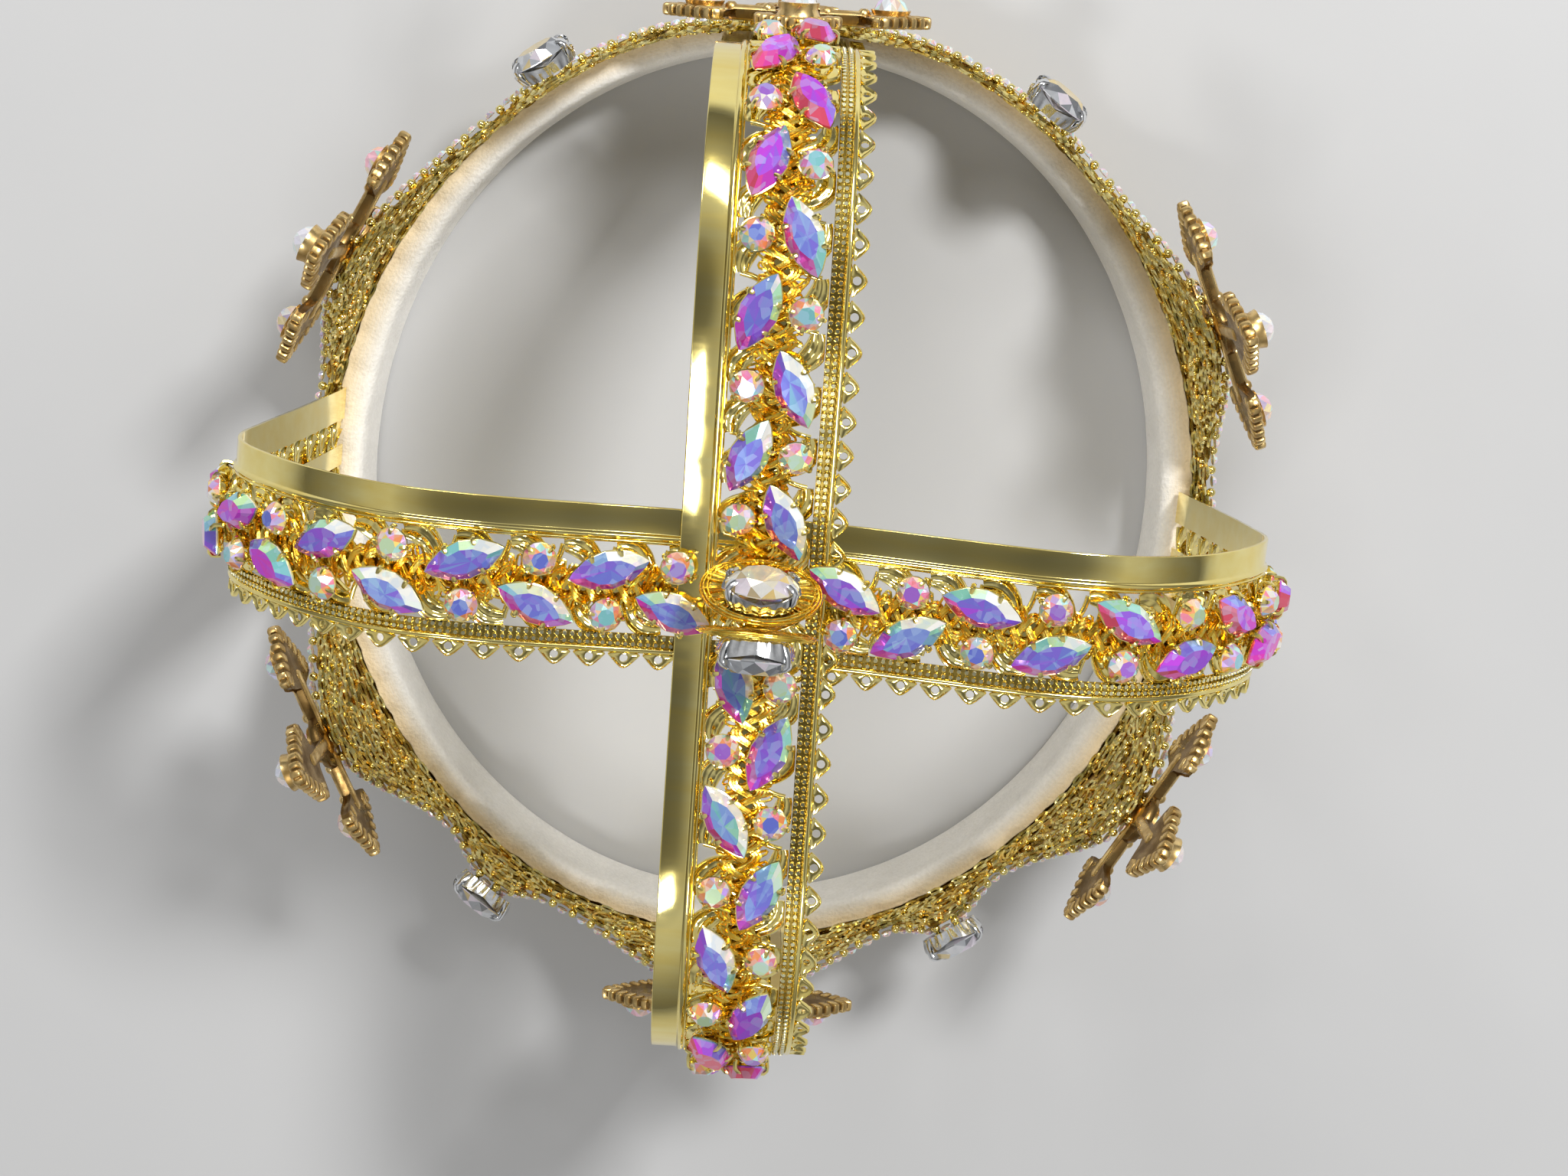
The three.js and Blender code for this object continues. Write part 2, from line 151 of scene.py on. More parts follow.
def loft(rings, closed=False):
    """Skin through closed rings with the same number of points, capped at both ends unless it closes."""
    rings = np.asarray(rings, float)
    count, size = rings.shape[:2]
    index = np.arange(count * size).reshape(count, size)
    ahead = np.roll(index, -1, axis=0) if closed else index[1:]
    here = index if closed else index[:-1]
    quads = np.stack([here, ahead, np.roll(ahead, -1, 1), np.roll(here, -1, 1)], -1).reshape(-1, 4)
    faces = [quads]
    if not closed:
        faces += [index[:1], index[-1:, ::-1]]
    return outward((rings.reshape(-1, 3), faces))


def rod(path, up, width, depth=None, sides=6, closed=False):
    """Rod of an oval section along a path; up is the way its depth is measured."""
    path = np.asarray(path, float)
    if closed:
        along = np.roll(path, -1, 0) - np.roll(path, 1, 0)
    else:
        along = np.gradient(path, axis=0)
    side = unit(np.cross(along, np.broadcast_to(up, path.shape)))
    lift = unit(np.cross(side, along))
    angle = np.arange(sides) * TURN / sides
    width = np.broadcast_to(width, len(path))[:, None, None]
    depth = width if depth is None else np.broadcast_to(depth, len(path))[:, None, None]
    around = np.cos(angle)[None, :, None] * width * side[:, None]
    around = around + np.sin(angle)[None, :, None] * depth * lift[:, None]
    return loft(path[:, None] + around, closed)


def swept(section, places):
    """Closed section of (across, above) pairs carried along a list of distances, still flat."""
    section = np.asarray(section, float)
    places = np.asarray(places, float)
    rings = np.empty((len(places), len(section), 3))
    rings[:, :, 0] = places[:, None]
    rings[:, :, 1:] = section[None]
    return loft(rings)


def ball(radius, sides=8, rows=5, squash=1.0):
    tilt = np.linspace(0, math.pi, rows + 1)[1:-1]
    angle = np.arange(sides) * TURN / sides
    rings = np.stack([
        np.sin(tilt)[:, None] * np.cos(angle),
        np.sin(tilt)[:, None] * np.sin(angle),
        np.cos(tilt)[:, None] * squash * np.ones(sides),
    ], -1)
    return loft(rings * radius)


def pillow(x, y, z, sides=12, rows=8):
    """Block with well rounded edges, from a ball pressed toward its corners."""
    points, faces = ball(1.0, sides, rows)
    pressed = np.sign(points) * np.abs(points) ** 0.5
    return pressed * np.array([x, y, z]), faces


def moved(shape, matrix):
    points, faces = shape
    return points @ matrix[:3, :3].T + matrix[:3, 3], faces


def shifted(shape, x=0.0, y=0.0, z=0.0):
    points, faces = shape
    return points + np.array([x, y, z]), faces


def scaled(shape, x=1.0, y=1.0, z=1.0):
    points, faces = shape
    return points * np.array([x, y, z]), faces


def spun(shape, angle):
    """The shape turned about its own Z."""
    points, faces = shape
    cos, sin = math.cos(angle), math.sin(angle)
    return points @ np.array([[cos, sin, 0], [-sin, cos, 0], [0, 0, 1]]), faces


def frames_of(origin, x_axis, y_axis, z_axis):
    """Array of 4 by 4 placing matrices from arrays of places and axes."""
    frames = np.zeros((len(origin), 4, 4))
    frames[:, :3, 0] = x_axis
    frames[:, :3, 1] = y_axis
    frames[:, :3, 2] = z_axis
    frames[:, :3, 3] = origin
    frames[:, 3, 3] = 1
    return frames


def slid(frames, across=0.0, above=0.0):
    """The placing matrices moved along their own Y and Z, by one distance or one for each."""
    frames = frames.copy()
    across, above = (np.broadcast_to(way, len(frames))[:, None] for way in (across, above))
    frames[:, :3, 3] += frames[:, :3, 1] * across + frames[:, :3, 2] * above
    return frames


def drawn(draw, tints):
    """One of the tints by chance."""
    return tints[draw.integers(0, len(tints))]


class Heap:
    """Many small shapes that become one mesh, with a tint for each face."""

    def __init__(self):
        self.points = []
        self.faces = []
        self.tints = []
        self.size = 0

    def add(self, shape, tint=(1, 1, 1)):
        points, faces = shape
        self.points.append(points)
        for group in faces:
            self.faces.append(group + self.size)
            self.tints.append(np.broadcast_to(np.asarray(tint, float), (len(group), 3)))
        self.size += len(points)

    def repeat(self, shape, frames, tint=(1, 1, 1)):
        """One copy of the shape at each placing matrix."""
        points, faces = shape
        count = len(frames)
        placed = np.einsum("nij,pj->npi", frames[:, :3, :3], points) + frames[:, None, :3, 3]
        start = self.size + np.arange(count)[:, None, None] * len(points)
        self.points.append(placed.reshape(-1, 3))
        for group in faces:
            self.faces.append((group[None] + start).reshape(-1, group.shape[1]))
            self.tints.append(np.broadcast_to(np.asarray(tint, float), (count * len(group), 3)))
        self.size += count * len(points)

    def add_facets(self, shape, painter):
        """A cut stone, with painter(normals) giving the tint of each facet."""
        points, faces = shape
        self.points.append(points)
        for group in faces:
            edge = points[group[:, 1]] - points[group[:, 0]]
            other = points[group[:, 2]] - points[group[:, 0]]
            self.faces.append(group + self.size)
            self.tints.append(painter(unit(np.cross(edge, other))))
        self.size += len(points)


def make_piece(name, heap, material, replaced=(), crease=None):
    """One mesh object from a heap. It rides on the crown; crease keeps edges sharper than that angle."""
    mesh = bpy.data.meshes.new(name)
    points = np.concatenate(heap.points) * MM + BAND_MIDDLE
    sizes = np.concatenate([np.full(len(group), group.shape[1]) for group in heap.faces])
    corners = np.concatenate([group.ravel() for group in heap.faces])
    starts = np.concatenate([[0], np.cumsum(sizes)[:-1]])
    mesh.vertices.add(len(points))
    mesh.vertices.foreach_set("co", points.astype(np.float32).ravel())
    mesh.loops.add(len(corners))
    mesh.loops.foreach_set("vertex_index", corners.astype(np.int32))
    mesh.polygons.add(len(sizes))
    mesh.polygons.foreach_set("loop_start", starts.astype(np.int32))
    mesh.update(calc_edges=True)
    mesh.validate()
    mesh.polygons.foreach_set("use_smooth", np.full(len(sizes), crease is not None))
    if crease is not None:
        mesh.set_sharp_from_angle(angle=math.radians(crease))
    tint = np.repeat(np.concatenate(heap.tints), sizes, axis=0)
    layer = mesh.color_attributes.new("tint", "FLOAT_COLOR", "CORNER")
    layer.data.foreach_set("color", np.column_stack([tint, np.ones(len(tint))]).astype(np.float32).ravel())
    piece = bpy.data.objects.new(name, mesh)
    bpy.context.scene.collection.objects.link(piece)
    mesh.materials.append(material)
    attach(piece, "root")
    if replaced:
        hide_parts(*replaced)
    return piece


# Oval band


def oval(azimuth):
    """Points of the head oval and its outward normals, in plan."""
    own = np.asarray(azimuth, float) - OVAL_TURN
    t = np.arctan2(np.sin(own) / HEAD_HALF_LENGTH, np.cos(own) / HEAD_HALF_WIDTH)
    point = np.stack([HEAD_HALF_WIDTH * np.cos(t), HEAD_HALF_LENGTH * np.sin(t)], -1)
    normal = unit(np.stack([np.cos(t) / HEAD_HALF_WIDTH, np.sin(t) / HEAD_HALF_LENGTH], -1))
    cos, sin = math.cos(OVAL_TURN), math.sin(OVAL_TURN)
    turn = np.array([[cos, sin], [-sin, cos]])
    return point @ turn, normal @ turn


def band_points(azimuth, out, up):
    point, normal = oval(azimuth)
    flat = point + normal * np.broadcast_to(out, len(point))[:, None]
    return np.column_stack([flat, np.broadcast_to(up, len(point))])


def peak_rise(peak, degrees):
    rise = np.zeros_like(degrees)
    for centre in peak["azimuths"]:
        away = np.abs((degrees - centre + 180) % 360 - 180)
        near = np.clip(1 - away / peak["half_width"], 0, 1)
        rise += peak["rise"] * np.sin(near * math.pi / 2) ** 2
    return rise


def lace_rim(azimuth):
    degrees = np.degrees(azimuth)
    return LACE_VALLEY + peak_rise(TALL_PEAK, degrees) + peak_rise(LOW_PEAK, degrees)


def lace_flare(azimuth):
    return LACE_FLARE["mean"] + LACE_FLARE["swing"] * np.cos(2 * np.asarray(azimuth))


def lace_inner(azimuth, up):
    flare = lace_flare(azimuth)
    return LACE_INNER + flare * up + np.maximum(0, -flare) * FELT_TOP


def on_band(degrees, up, off, tilt=0.0):
    """Placing matrix off the lace's outer face: Z points outward and Y up."""
    azimuth = np.array([math.radians(degrees)])
    normal = oval(azimuth)[1][0]
    rise = tilt - math.atan(lace_flare(azimuth)[0])
    out = np.array([*(normal * math.cos(rise)), math.sin(rise)])
    side = unit(np.cross([0, 0, 1], out))
    origin = band_points(azimuth, lace_inner(azimuth, up) + LACE_WALL + off, up)
    return frames_of(origin, side[None], np.cross(out, side)[None], out[None])[0]


# Arches


def arch_line(far, near, per_span=40):
    """Smooth line through the stations of both halves, in the arch's own upright plane."""
    far, near = np.array(far, float), np.array(near, float)
    knots = np.concatenate([far[:0:-1] * [-1, 1], near])
    knots = np.concatenate([[2 * knots[0] - knots[1]], knots, [2 * knots[-1] - knots[-2]]])
    share = np.linspace(0, 1, per_span, endpoint=False)[:, None]
    line = []
    for before, start, end, after in zip(knots, knots[1:], knots[2:], knots[3:]):
        gaps = [math.sqrt(math.dist(*pair)) for pair in ((before, start), (start, end), (end, after))]
        leave = (start - before) / gaps[0] - (end - before) / (gaps[0] + gaps[1]) + (end - start) / gaps[1]
        arrive = (end - start) / gaps[1] - (after - start) / (gaps[1] + gaps[2]) + (after - end) / gaps[2]
        leave, arrive = leave * gaps[1], arrive * gaps[1]
        cubic = 2 * start - 2 * end + leave + arrive
        square = -3 * start + 3 * end - 2 * leave - arrive
        line.append(start + leave * share + square * share ** 2 + cubic * share ** 3)
    return np.concatenate(line + [knots[-2:-1]])


class Arch:
    """Bends flat work onto an arch: x is the distance from the crossing, y across, z above."""

    def __init__(self, far, near, turn, drift):
        self.line = arch_line(far, near)
        walked = walked_along(self.line)
        self.walked = walked - walked[len(walked) // 2]
        self.start, self.end = self.walked[0], self.walked[-1]
        self.slope = unit(np.gradient(self.line, axis=0))
        self.turn = turn
        self.drift = drift

    def frames(self, distance):
        distance = np.asarray(distance, float)
        out, up = (np.interp(distance, self.walked, self.line[:, k]) for k in range(2))
        run, rise = (np.interp(distance, self.walked, self.slope[:, k]) for k in range(2))
        cos, sin = math.cos(self.turn), math.sin(self.turn)
        along = unit(np.stack([run * cos, run * sin, rise], -1))
        across = np.broadcast_to([-sin, cos, 0.0], along.shape)
        leg = np.clip((distance - LEG_START) / (self.end - LEG_START), 0, 1)[:, None]
        origin = np.stack([out * cos, out * sin, up], -1) + across * self.drift * leg
        return frames_of(origin, along, across, np.cross(along, across))

    def bend(self, shape):
        points, faces = shape
        frames = self.frames(points[:, 0])
        offset = np.concatenate([np.zeros((len(points), 1)), points[:, 1:]], 1)
        return np.einsum("nij,nj->ni", frames[:, :3, :3], offset) + frames[:, :3, 3], faces


SIDE_ARCH = Arch(LEFT_STATIONS, RIGHT_STATIONS, 0.0, RIGHT_DRIFT)
FRONT_ARCH = Arch(FRONT_STATIONS, FRONT_STATIONS, FRONT_TURN, 0.0)


# Finishes


def new_material(name):
    material = bpy.data.materials.new(name)
    material.use_nodes = True
    nodes = material.node_tree.nodes
    return material, nodes, material.node_tree.links, nodes["Principled BSDF"]


def set_inputs(node, **values):
    """The node with plain values on the named inputs; an underscore stands for a space."""
    for name, value in values.items():
        node.inputs[name.replace("_", " ")].default_value = value
    return node


WORN_DEFAULTS = {"Scale": 400.0, "Detail": 4.0, "Streak": 1.0, "Dull": 0.4, "Shiny": 0.1}


def worn_surface_group():
    """Mottling and streaks: a mask for colour, a height for bump and a roughness between two limits."""
    group = bpy.data.node_groups.new("worn_surface", "ShaderNodeTree")
    face = group.interface
    for name, default in WORN_DEFAULTS.items():
        face.new_socket(name, in_out="INPUT", socket_type="NodeSocketFloat").default_value = default
    for name in ("Mask", "Height", "Roughness"):
        face.new_socket(name, in_out="OUTPUT", socket_type="NodeSocketFloat")
    nodes, links = group.nodes, group.links
    inside = nodes.new("NodeGroupInput")
    outside = nodes.new("NodeGroupOutput")
    place = nodes.new("ShaderNodeTexCoord")
    stretch = nodes.new("ShaderNodeVectorMath")
    stretch.operation = "MULTIPLY"
    ways = set_inputs(nodes.new("ShaderNodeCombineXYZ"), Y=1.0, Z=1.0)
    links.new(inside.outputs["Streak"], ways.inputs["X"])
    links.new(place.outputs["Object"], stretch.inputs[0])
    links.new(ways.outputs["Vector"], stretch.inputs[1])
    mottle = nodes.new("ShaderNodeTexNoise")
    links.new(stretch.outputs["Vector"], mottle.inputs["Vector"])
    links.new(inside.outputs["Scale"], mottle.inputs["Scale"])
    links.new(inside.outputs["Detail"], mottle.inputs["Detail"])
    spread = set_inputs(nodes.new("ShaderNodeMapRange"), From_Min=0.34, From_Max=0.68)
    links.new(mottle.outputs["Fac"], spread.inputs["Value"])
    gloss = nodes.new("ShaderNodeMapRange")
    links.new(spread.outputs["Result"], gloss.inputs["Value"])
    links.new(inside.outputs["Dull"], gloss.inputs["To Min"])
    links.new(inside.outputs["Shiny"], gloss.inputs["To Max"])
    links.new(spread.outputs["Result"], outside.inputs["Mask"])
    links.new(mottle.outputs["Fac"], outside.inputs["Height"])
    links.new(gloss.outputs["Result"], outside.inputs["Roughness"])
    return group


def tinted_group():
    """A colour multiplied by the tint that each face carries."""
    group = bpy.data.node_groups.new("face_tint", "ShaderNodeTree")
    group.interface.new_socket("Colour", in_out="INPUT", socket_type="NodeSocketColor")
    group.interface.new_socket("Colour", in_out="OUTPUT", socket_type="NodeSocketColor")
    nodes, links = group.nodes, group.links
    tint = nodes.new("ShaderNodeVertexColor")
    tint.layer_name = "tint"
    shade = nodes.new("ShaderNodeMix")
    shade.data_type = "RGBA"
    shade.blend_type = "MULTIPLY"
    shade.inputs[0].default_value = 1.0
    links.new(nodes.new("NodeGroupInput").outputs["Colour"], shade.inputs[6])
    links.new(tint.outputs["Color"], shade.inputs[7])
    links.new(shade.outputs[2], nodes.new("NodeGroupOutput").inputs["Colour"])
    return group


WORN_SURFACE = worn_surface_group()
FACE_TINT = tinted_group()


def worn(nodes, scale, detail=4.0, streak=1.0, gloss=(0.1, 0.4)):
    node = nodes.new("ShaderNodeGroup")
    node.node_tree = WORN_SURFACE
    shiny, dull = gloss
    return set_inputs(node, Scale=scale, Detail=detail, Streak=streak, Shiny=shiny, Dull=dull)


def tinted(nodes, links, colour):
    node = nodes.new("ShaderNodeGroup")
    node.node_tree = FACE_TINT
    links.new(colour, node.inputs["Colour"])
    return node.outputs["Colour"]


def mix_colours(nodes, links, factor, low, high):
    mix = nodes.new("ShaderNodeMix")
    mix.data_type = "RGBA"
    for socket, value in ((mix.inputs[0], factor), (mix.inputs[6], low), (mix.inputs[7], high)):
        if isinstance(value, bpy.types.NodeSocket):
            links.new(value, socket)
        else:
            socket.default_value = value if isinstance(value, float) else (*value, 1.0)
    return mix.outputs[2]


def bumped(nodes, links, height, strength, distance):
    bump = set_inputs(nodes.new("ShaderNodeBump"), Strength=strength, Distance=distance)
    links.new(height, bump.inputs["Height"])
    return bump.outputs["Normal"]


GILT_RELIEF = 0.0002


def gilt(name, bright, deep, gloss, scale, streak, bump):
    """Gold finish that runs from a bright to a deep tone, with gloss as its least and most roughness."""
    material, nodes, links, shader = new_material(name)
    wear = worn(nodes, scale, 5.0, streak, gloss)
    colour = mix_colours(nodes, links, wear.outputs["Mask"], deep, bright)
    links.new(tinted(nodes, links, colour), shader.inputs["Base Color"])
    links.new(wear.outputs["Roughness"], shader.inputs["Roughness"])
    links.new(bumped(nodes, links, wear.outputs["Height"], bump, GILT_RELIEF), shader.inputs["Normal"])
    set_inputs(shader, Metallic=1.0)
    return material


# Flecks of painted glint on the stones: reflections of the facets beneath
GLINT_FLECK = {"scale": 620.0, "from": 0.5, "to": 0.9, "most": 0.35, "tint": (0.55, 0.75, 1.0)}


def rainbow_stone():
    """Cut glass with a rainbow coat: each facet has its own tint, with flecks painted on as glints,
    reflections of the facets beneath.
    """
    material, nodes, links, shader = new_material("rainbow_stone")
    tint = nodes.new("ShaderNodeVertexColor")
    tint.layer_name = "tint"
    place = nodes.new("ShaderNodeTexCoord")
    glint_fleck = set_inputs(nodes.new("ShaderNodeTexVoronoi"), Scale=GLINT_FLECK["scale"])
    links.new(place.outputs["Object"], glint_fleck.inputs["Vector"])
    ramp = nodes.new("ShaderNodeMapRange")
    set_inputs(ramp, From_Min=GLINT_FLECK["from"], From_Max=GLINT_FLECK["to"], To_Max=GLINT_FLECK["most"])
    separate = nodes.new("ShaderNodeSeparateColor")
    links.new(glint_fleck.outputs["Color"], separate.inputs["Color"])
    links.new(separate.outputs["Red"], ramp.inputs["Value"])
    colour = mix_colours(nodes, links, ramp.outputs["Result"], tint.outputs["Color"], GLINT_FLECK["tint"])
    links.new(colour, shader.inputs["Base Color"])
    set_inputs(shader, Metallic=0.5, Roughness=0.07, IOR=1.6)
    set_inputs(shader, Coat_Weight=0.4, Coat_Roughness=0.02, Coat_IOR=1.5)
    return material


def clear_glass():
    """Clear cut glass on foil: facets keep the tint of what they mirror."""
    material, nodes, links, shader = new_material("clear_cut_glass")
    wear = worn(nodes, 900.0, gloss=(0.0, 0.05))
    haze = mix_colours(nodes, links, wear.outputs["Mask"], (0.9, 0.92, 0.93), (1.0, 1.0, 1.0))
    links.new(tinted(nodes, links, haze), shader.inputs["Base Color"])
    links.new(wear.outputs["Roughness"], shader.inputs["Roughness"])
    set_inputs(shader, Transmission_Weight=0.45, Metallic=0.35, IOR=1.6)
    return material


def bright_silver():
    material, nodes, links, shader = new_material("bright_silver")
    wear = worn(nodes, 700.0, gloss=(0.06, 0.16))
    colour = mix_colours(nodes, links, wear.outputs["Mask"], (0.7, 0.71, 0.72), (0.92, 0.93, 0.94))
    links.new(colour, shader.inputs["Base Color"])
    links.new(wear.outputs["Roughness"], shader.inputs["Roughness"])
    set_inputs(shader, Metallic=1.0)
    return material


FIBRE_RELIEF = 0.0007


def cream_felt():
    """Matted wool: cloudy cream, warmer where the tint says so, with short fibres in colour and bump."""
    material, nodes, links, shader = new_material("cream_felt")
    cloud = worn(nodes, 130.0, 5.0)
    fibre = worn(nodes, 1300.0, 9.0)
    shade = mix_colours(nodes, links, cloud.outputs["Mask"], (0.77, 0.75, 0.71), (0.84, 0.82, 0.78))
    nap = mix_colours(nodes, links, cloud.outputs["Mask"], (0.84, 0.82, 0.78), (0.92, 0.9, 0.86))
    cream = mix_colours(nodes, links, fibre.outputs["Mask"], shade, nap)
    links.new(tinted(nodes, links, cream), shader.inputs["Base Color"])
    links.new(bumped(nodes, links, fibre.outputs["Height"], 0.5, FIBRE_RELIEF), shader.inputs["Normal"])
    set_inputs(shader, Roughness=0.95, Sheen_Weight=0.3, Sheen_Roughness=0.5)
    return material


def pale_floor():
    material, nodes, links, shader = new_material("pale_floor")
    wear = worn(nodes, 6.0)
    colour = mix_colours(nodes, links, wear.outputs["Mask"], (0.46, 0.46, 0.46), (0.49, 0.49, 0.49))
    links.new(colour, shader.inputs["Base Color"])
    set_inputs(shader, Roughness=0.9)
    return material


POLISHED_GILT = gilt(
    "polished_gilt", bright=(1.0, 0.87, 0.36), deep=(0.96, 0.77, 0.24),
    gloss=(0.06, 0.15), scale=260.0, streak=0.15, bump=0.03,
)
LACE_GILT = gilt(
    "lace_gilt", bright=(1.0, 0.92, 0.46), deep=(0.93, 0.77, 0.28),
    gloss=(0.14, 0.28), scale=900.0, streak=1.0, bump=0.2,
)
ANTIQUE_GILT = gilt(
    "antique_gilt", bright=(0.72, 0.53, 0.24), deep=(0.36, 0.23, 0.08),
    gloss=(0.2, 0.42), scale=320.0, streak=1.0, bump=0.25,
)
THREAD_GILT = gilt(
    "thread_gilt", bright=(1.0, 0.84, 0.24), deep=(0.98, 0.68, 0.1),
    gloss=(0.12, 0.25), scale=1500.0, streak=1.0, bump=0.2,
)
RAINBOW_STONE = rainbow_stone()
CLEAR_GLASS = clear_glass()
BRIGHT_SILVER = bright_silver()
CREAM_FELT = cream_felt()


# Cut stones


def pointed_oval(length, width, per_side=5):
    """Outline of two arcs that meet in points at both ends of X, anticlockwise."""
    half, rise = length / 2, width / 2
    radius = (half ** 2 + rise ** 2) / (2 * rise)
    x = half * np.cos(np.linspace(0, math.pi, per_side + 1))
    upper = np.stack([x, np.sqrt(np.maximum(radius ** 2 - x ** 2, 0)) - (radius - rise)], -1)
    return np.concatenate([upper, (upper * [1, -1])[-2:0:-1]])


def round_outline(count):
    angle = np.arange(count) * TURN / count
    return np.stack([np.cos(angle), np.sin(angle)], -1)


def flat_ring(outline, share, up):
    return np.column_stack([outline * share, np.broadcast_to(up, len(outline))])


def stacked(outline, levels):
    """Skin through copies of an outline, each a share of its size at a height."""
    return loft([flat_ring(outline, share, up) for share, up in levels])


def marquise_stone(draw):
    """Marquise with a table in patches, one row of crown facets, a thin girdle and a pointed back."""
    outline = pointed_oval(MARQUISE["length"], MARQUISE["width"], 6)
    girdle, height = MARQUISE["girdle"], MARQUISE["height"]
    levels = [(0.35, 0.0), (1.0, girdle - 0.15), (1.0, girdle + 0.15), (0.62, height)]
    points, faces = stacked(outline, levels)
    sides, back, table = faces
    meeting = [[draw.uniform(-2.5, 2.5), draw.uniform(-0.6, 0.6), height]]
    patches = np.stack([table[0], np.roll(table[0], -1), np.full(table.shape[1], len(points))], -1)
    return np.concatenate([points, meeting]), [sides, back, patches]


def brilliant(radius, girdle, height, table=0.52):
    """Round stone with an eight-sided table, star, kite and edge facets, and a pointed back."""
    on, off = np.arange(8) * TURN / 8, (np.arange(8) + 0.5) * TURN / 8

    def circle(angle, share, up):
        return flat_ring(np.stack([np.cos(angle), np.sin(angle)], -1), radius * share, up)

    middle_up = girdle + 0.62 * (height - girdle)
    points = np.concatenate([
        circle(on, table, height),
        circle(off, 0.78, middle_up),
        circle(on, 1.0, girdle),
        circle(off, 1.0, girdle),
        circle(on, 1.0, girdle - 0.2),
        circle(off, 1.0, girdle - 0.2),
        [[0, 0, 0]],
    ])
    k = np.arange(8)
    after, before = (k + 1) % 8, (k - 1) % 8
    tops, mids, ons, offs, low_ons, low_offs = (k + 8 * row for row in range(6))
    culet = np.full(8, 48)
    faces = [
        tops[None],
        np.stack([tops, mids, tops[after]], -1),
        np.stack([tops, mids[before], ons, mids], -1),
        np.concatenate([np.stack([mids, ons, offs], -1), np.stack([mids, offs, ons[after]], -1)]),
        np.concatenate([
            np.stack([ons, low_ons, low_offs, offs], -1),
            np.stack([offs, low_offs, low_ons[after], ons[after]], -1),
        ]),
        np.concatenate([
            np.stack([low_ons, culet, low_offs], -1),
            np.stack([low_offs, culet, low_ons[after]], -1),
        ]),
    ]
    return outward((points, faces))


# Tints of the rainbow coat with painted light, by how far a facet turns from the shaded to the lit side:
# the coat's colours, red where shaded and white as a painted highlight where lit
RAINBOW = [
    {"turn": -1.05, "tint": (0.84, 0.10, 0.18)},
    {"turn": -0.78, "tint": (0.76, 0.05, 0.50)},
    {"turn": -0.50, "tint": (0.54, 0.07, 0.80)},
    {"turn": -0.25, "tint": (0.32, 0.13, 0.76)},
    {"turn": -0.04, "tint": (0.19, 0.21, 0.72)},
    {"turn": 0.10, "tint": (0.26, 0.40, 0.78)},
    {"turn": 0.24, "tint": (0.20, 0.56, 0.56)},
    {"turn": 0.38, "tint": (0.55, 0.86, 0.42)},
    {"turn": 0.55, "tint": (0.98, 0.98, 0.92)},
]
LIT_SIDE = unit(np.array([0.62, 0.78, 0.0]))
# Tints of the small round stones: one for the table, the rest drawn for the other facets
TABLE_TINTS = [(0.16, 0.20, 0.70), (0.40, 0.16, 0.68), (0.24, 0.58, 0.60), (0.55, 0.72, 0.45)]
CONFETTI_TINTS = [
    (0.98, 0.36, 0.14), (0.98, 0.60, 0.38), (0.95, 0.30, 0.42), (1.0, 0.95, 0.86),
    (1.0, 0.74, 0.20), (0.50, 0.84, 0.76), (0.72, 0.50, 0.90),
]
TABLE_FACING = 0.97
PALE_GLASS = np.array([0.88, 0.9, 0.9])
# How far tints stray from stone to stone and from facet to facet, with less on the table
STRAY = {"stone": 0.1, "facet": 0.1, "table": 0.08}
# Painted shade: how far stones that lean down the legs shift toward red, the shaded end of the tints, the
# most, the front's extra, the drawn share
SHADE_BY_LEAN = {"by_lean": 2.2, "most": 0.8, "more_in_front": 1.2, "share": (0.5, 1.1)}


def rainbow_painter(draw, axis, shift):
    """Gives facets their tint, as painted light, from the way they turn from the stone's axis toward the
    lit side, with a shift for the stone.
    """
    turns = [row["turn"] for row in RAINBOW]
    channels = np.array([row["tint"] for row in RAINBOW])

    def paint(normals):
        spread = np.where(normals @ axis > TABLE_FACING, STRAY["table"], STRAY["facet"])
        stray = draw.normal(0, 1, len(normals)) * spread
        facing = (normals - axis) @ LIT_SIDE + shift + stray
        return np.stack([np.interp(facing, turns, channels[:, k]) for k in range(3)], -1)

    return paint


def confetti_painter(draw, axis, pale=0.0):
    """Gives the table one tint and each other facet a tint of its own, paled toward clear glass."""
    table = np.array(drawn(draw, TABLE_TINTS))
    others = np.array(CONFETTI_TINTS)

    def paint(normals):
        tint = others[draw.integers(0, len(others), len(normals))]
        tint = np.where((normals @ axis > TABLE_FACING)[:, None], table, tint)
        return tint * (1 - pale) + PALE_GLASS * pale

    return paint


# Claws and cups


def claw(reach, girdle, thick=0.42):
    """Claw that rises outside a stone's edge and bends over it, in the plane of X and Z."""
    path = [
        (reach + 0.3, 0, 0.1),
        (reach + 0.45, 0, girdle * 0.7),
        (reach + 0.35, 0, girdle + 0.45),
        (reach - 0.25, 0, girdle + 0.95),
        (reach - 1.0, 0, girdle + 1.15),
    ]
    sizes = thick * np.array([1.0, 1.0, 1.0, 0.95, 0.6])
    return rod(path, (0, 1, 0), sizes, sizes * 1.25, 6)


def marquise_cup():
    """Gold cup under a marquise with two claws on each side."""
    girdle = MARQUISE["girdle"]
    outline = pointed_oval(MARQUISE["length"], MARQUISE["width"], 10)
    shapes = [stacked(outline, [(0.78, 0.0), (1.03, girdle - 0.3), (0.96, girdle - 0.2), (0.7, 0.25)])]
    for along in (-0.36, 0.36):
        edge = MARQUISE["width"] / 2 * (1 - 0.9 * along ** 2)
        for side in (-1, 1):
            hook = spun(claw(edge, girdle), side * math.pi / 2)
            shapes.append(shifted(hook, x=along * MARQUISE["length"] / 2))
    return shapes


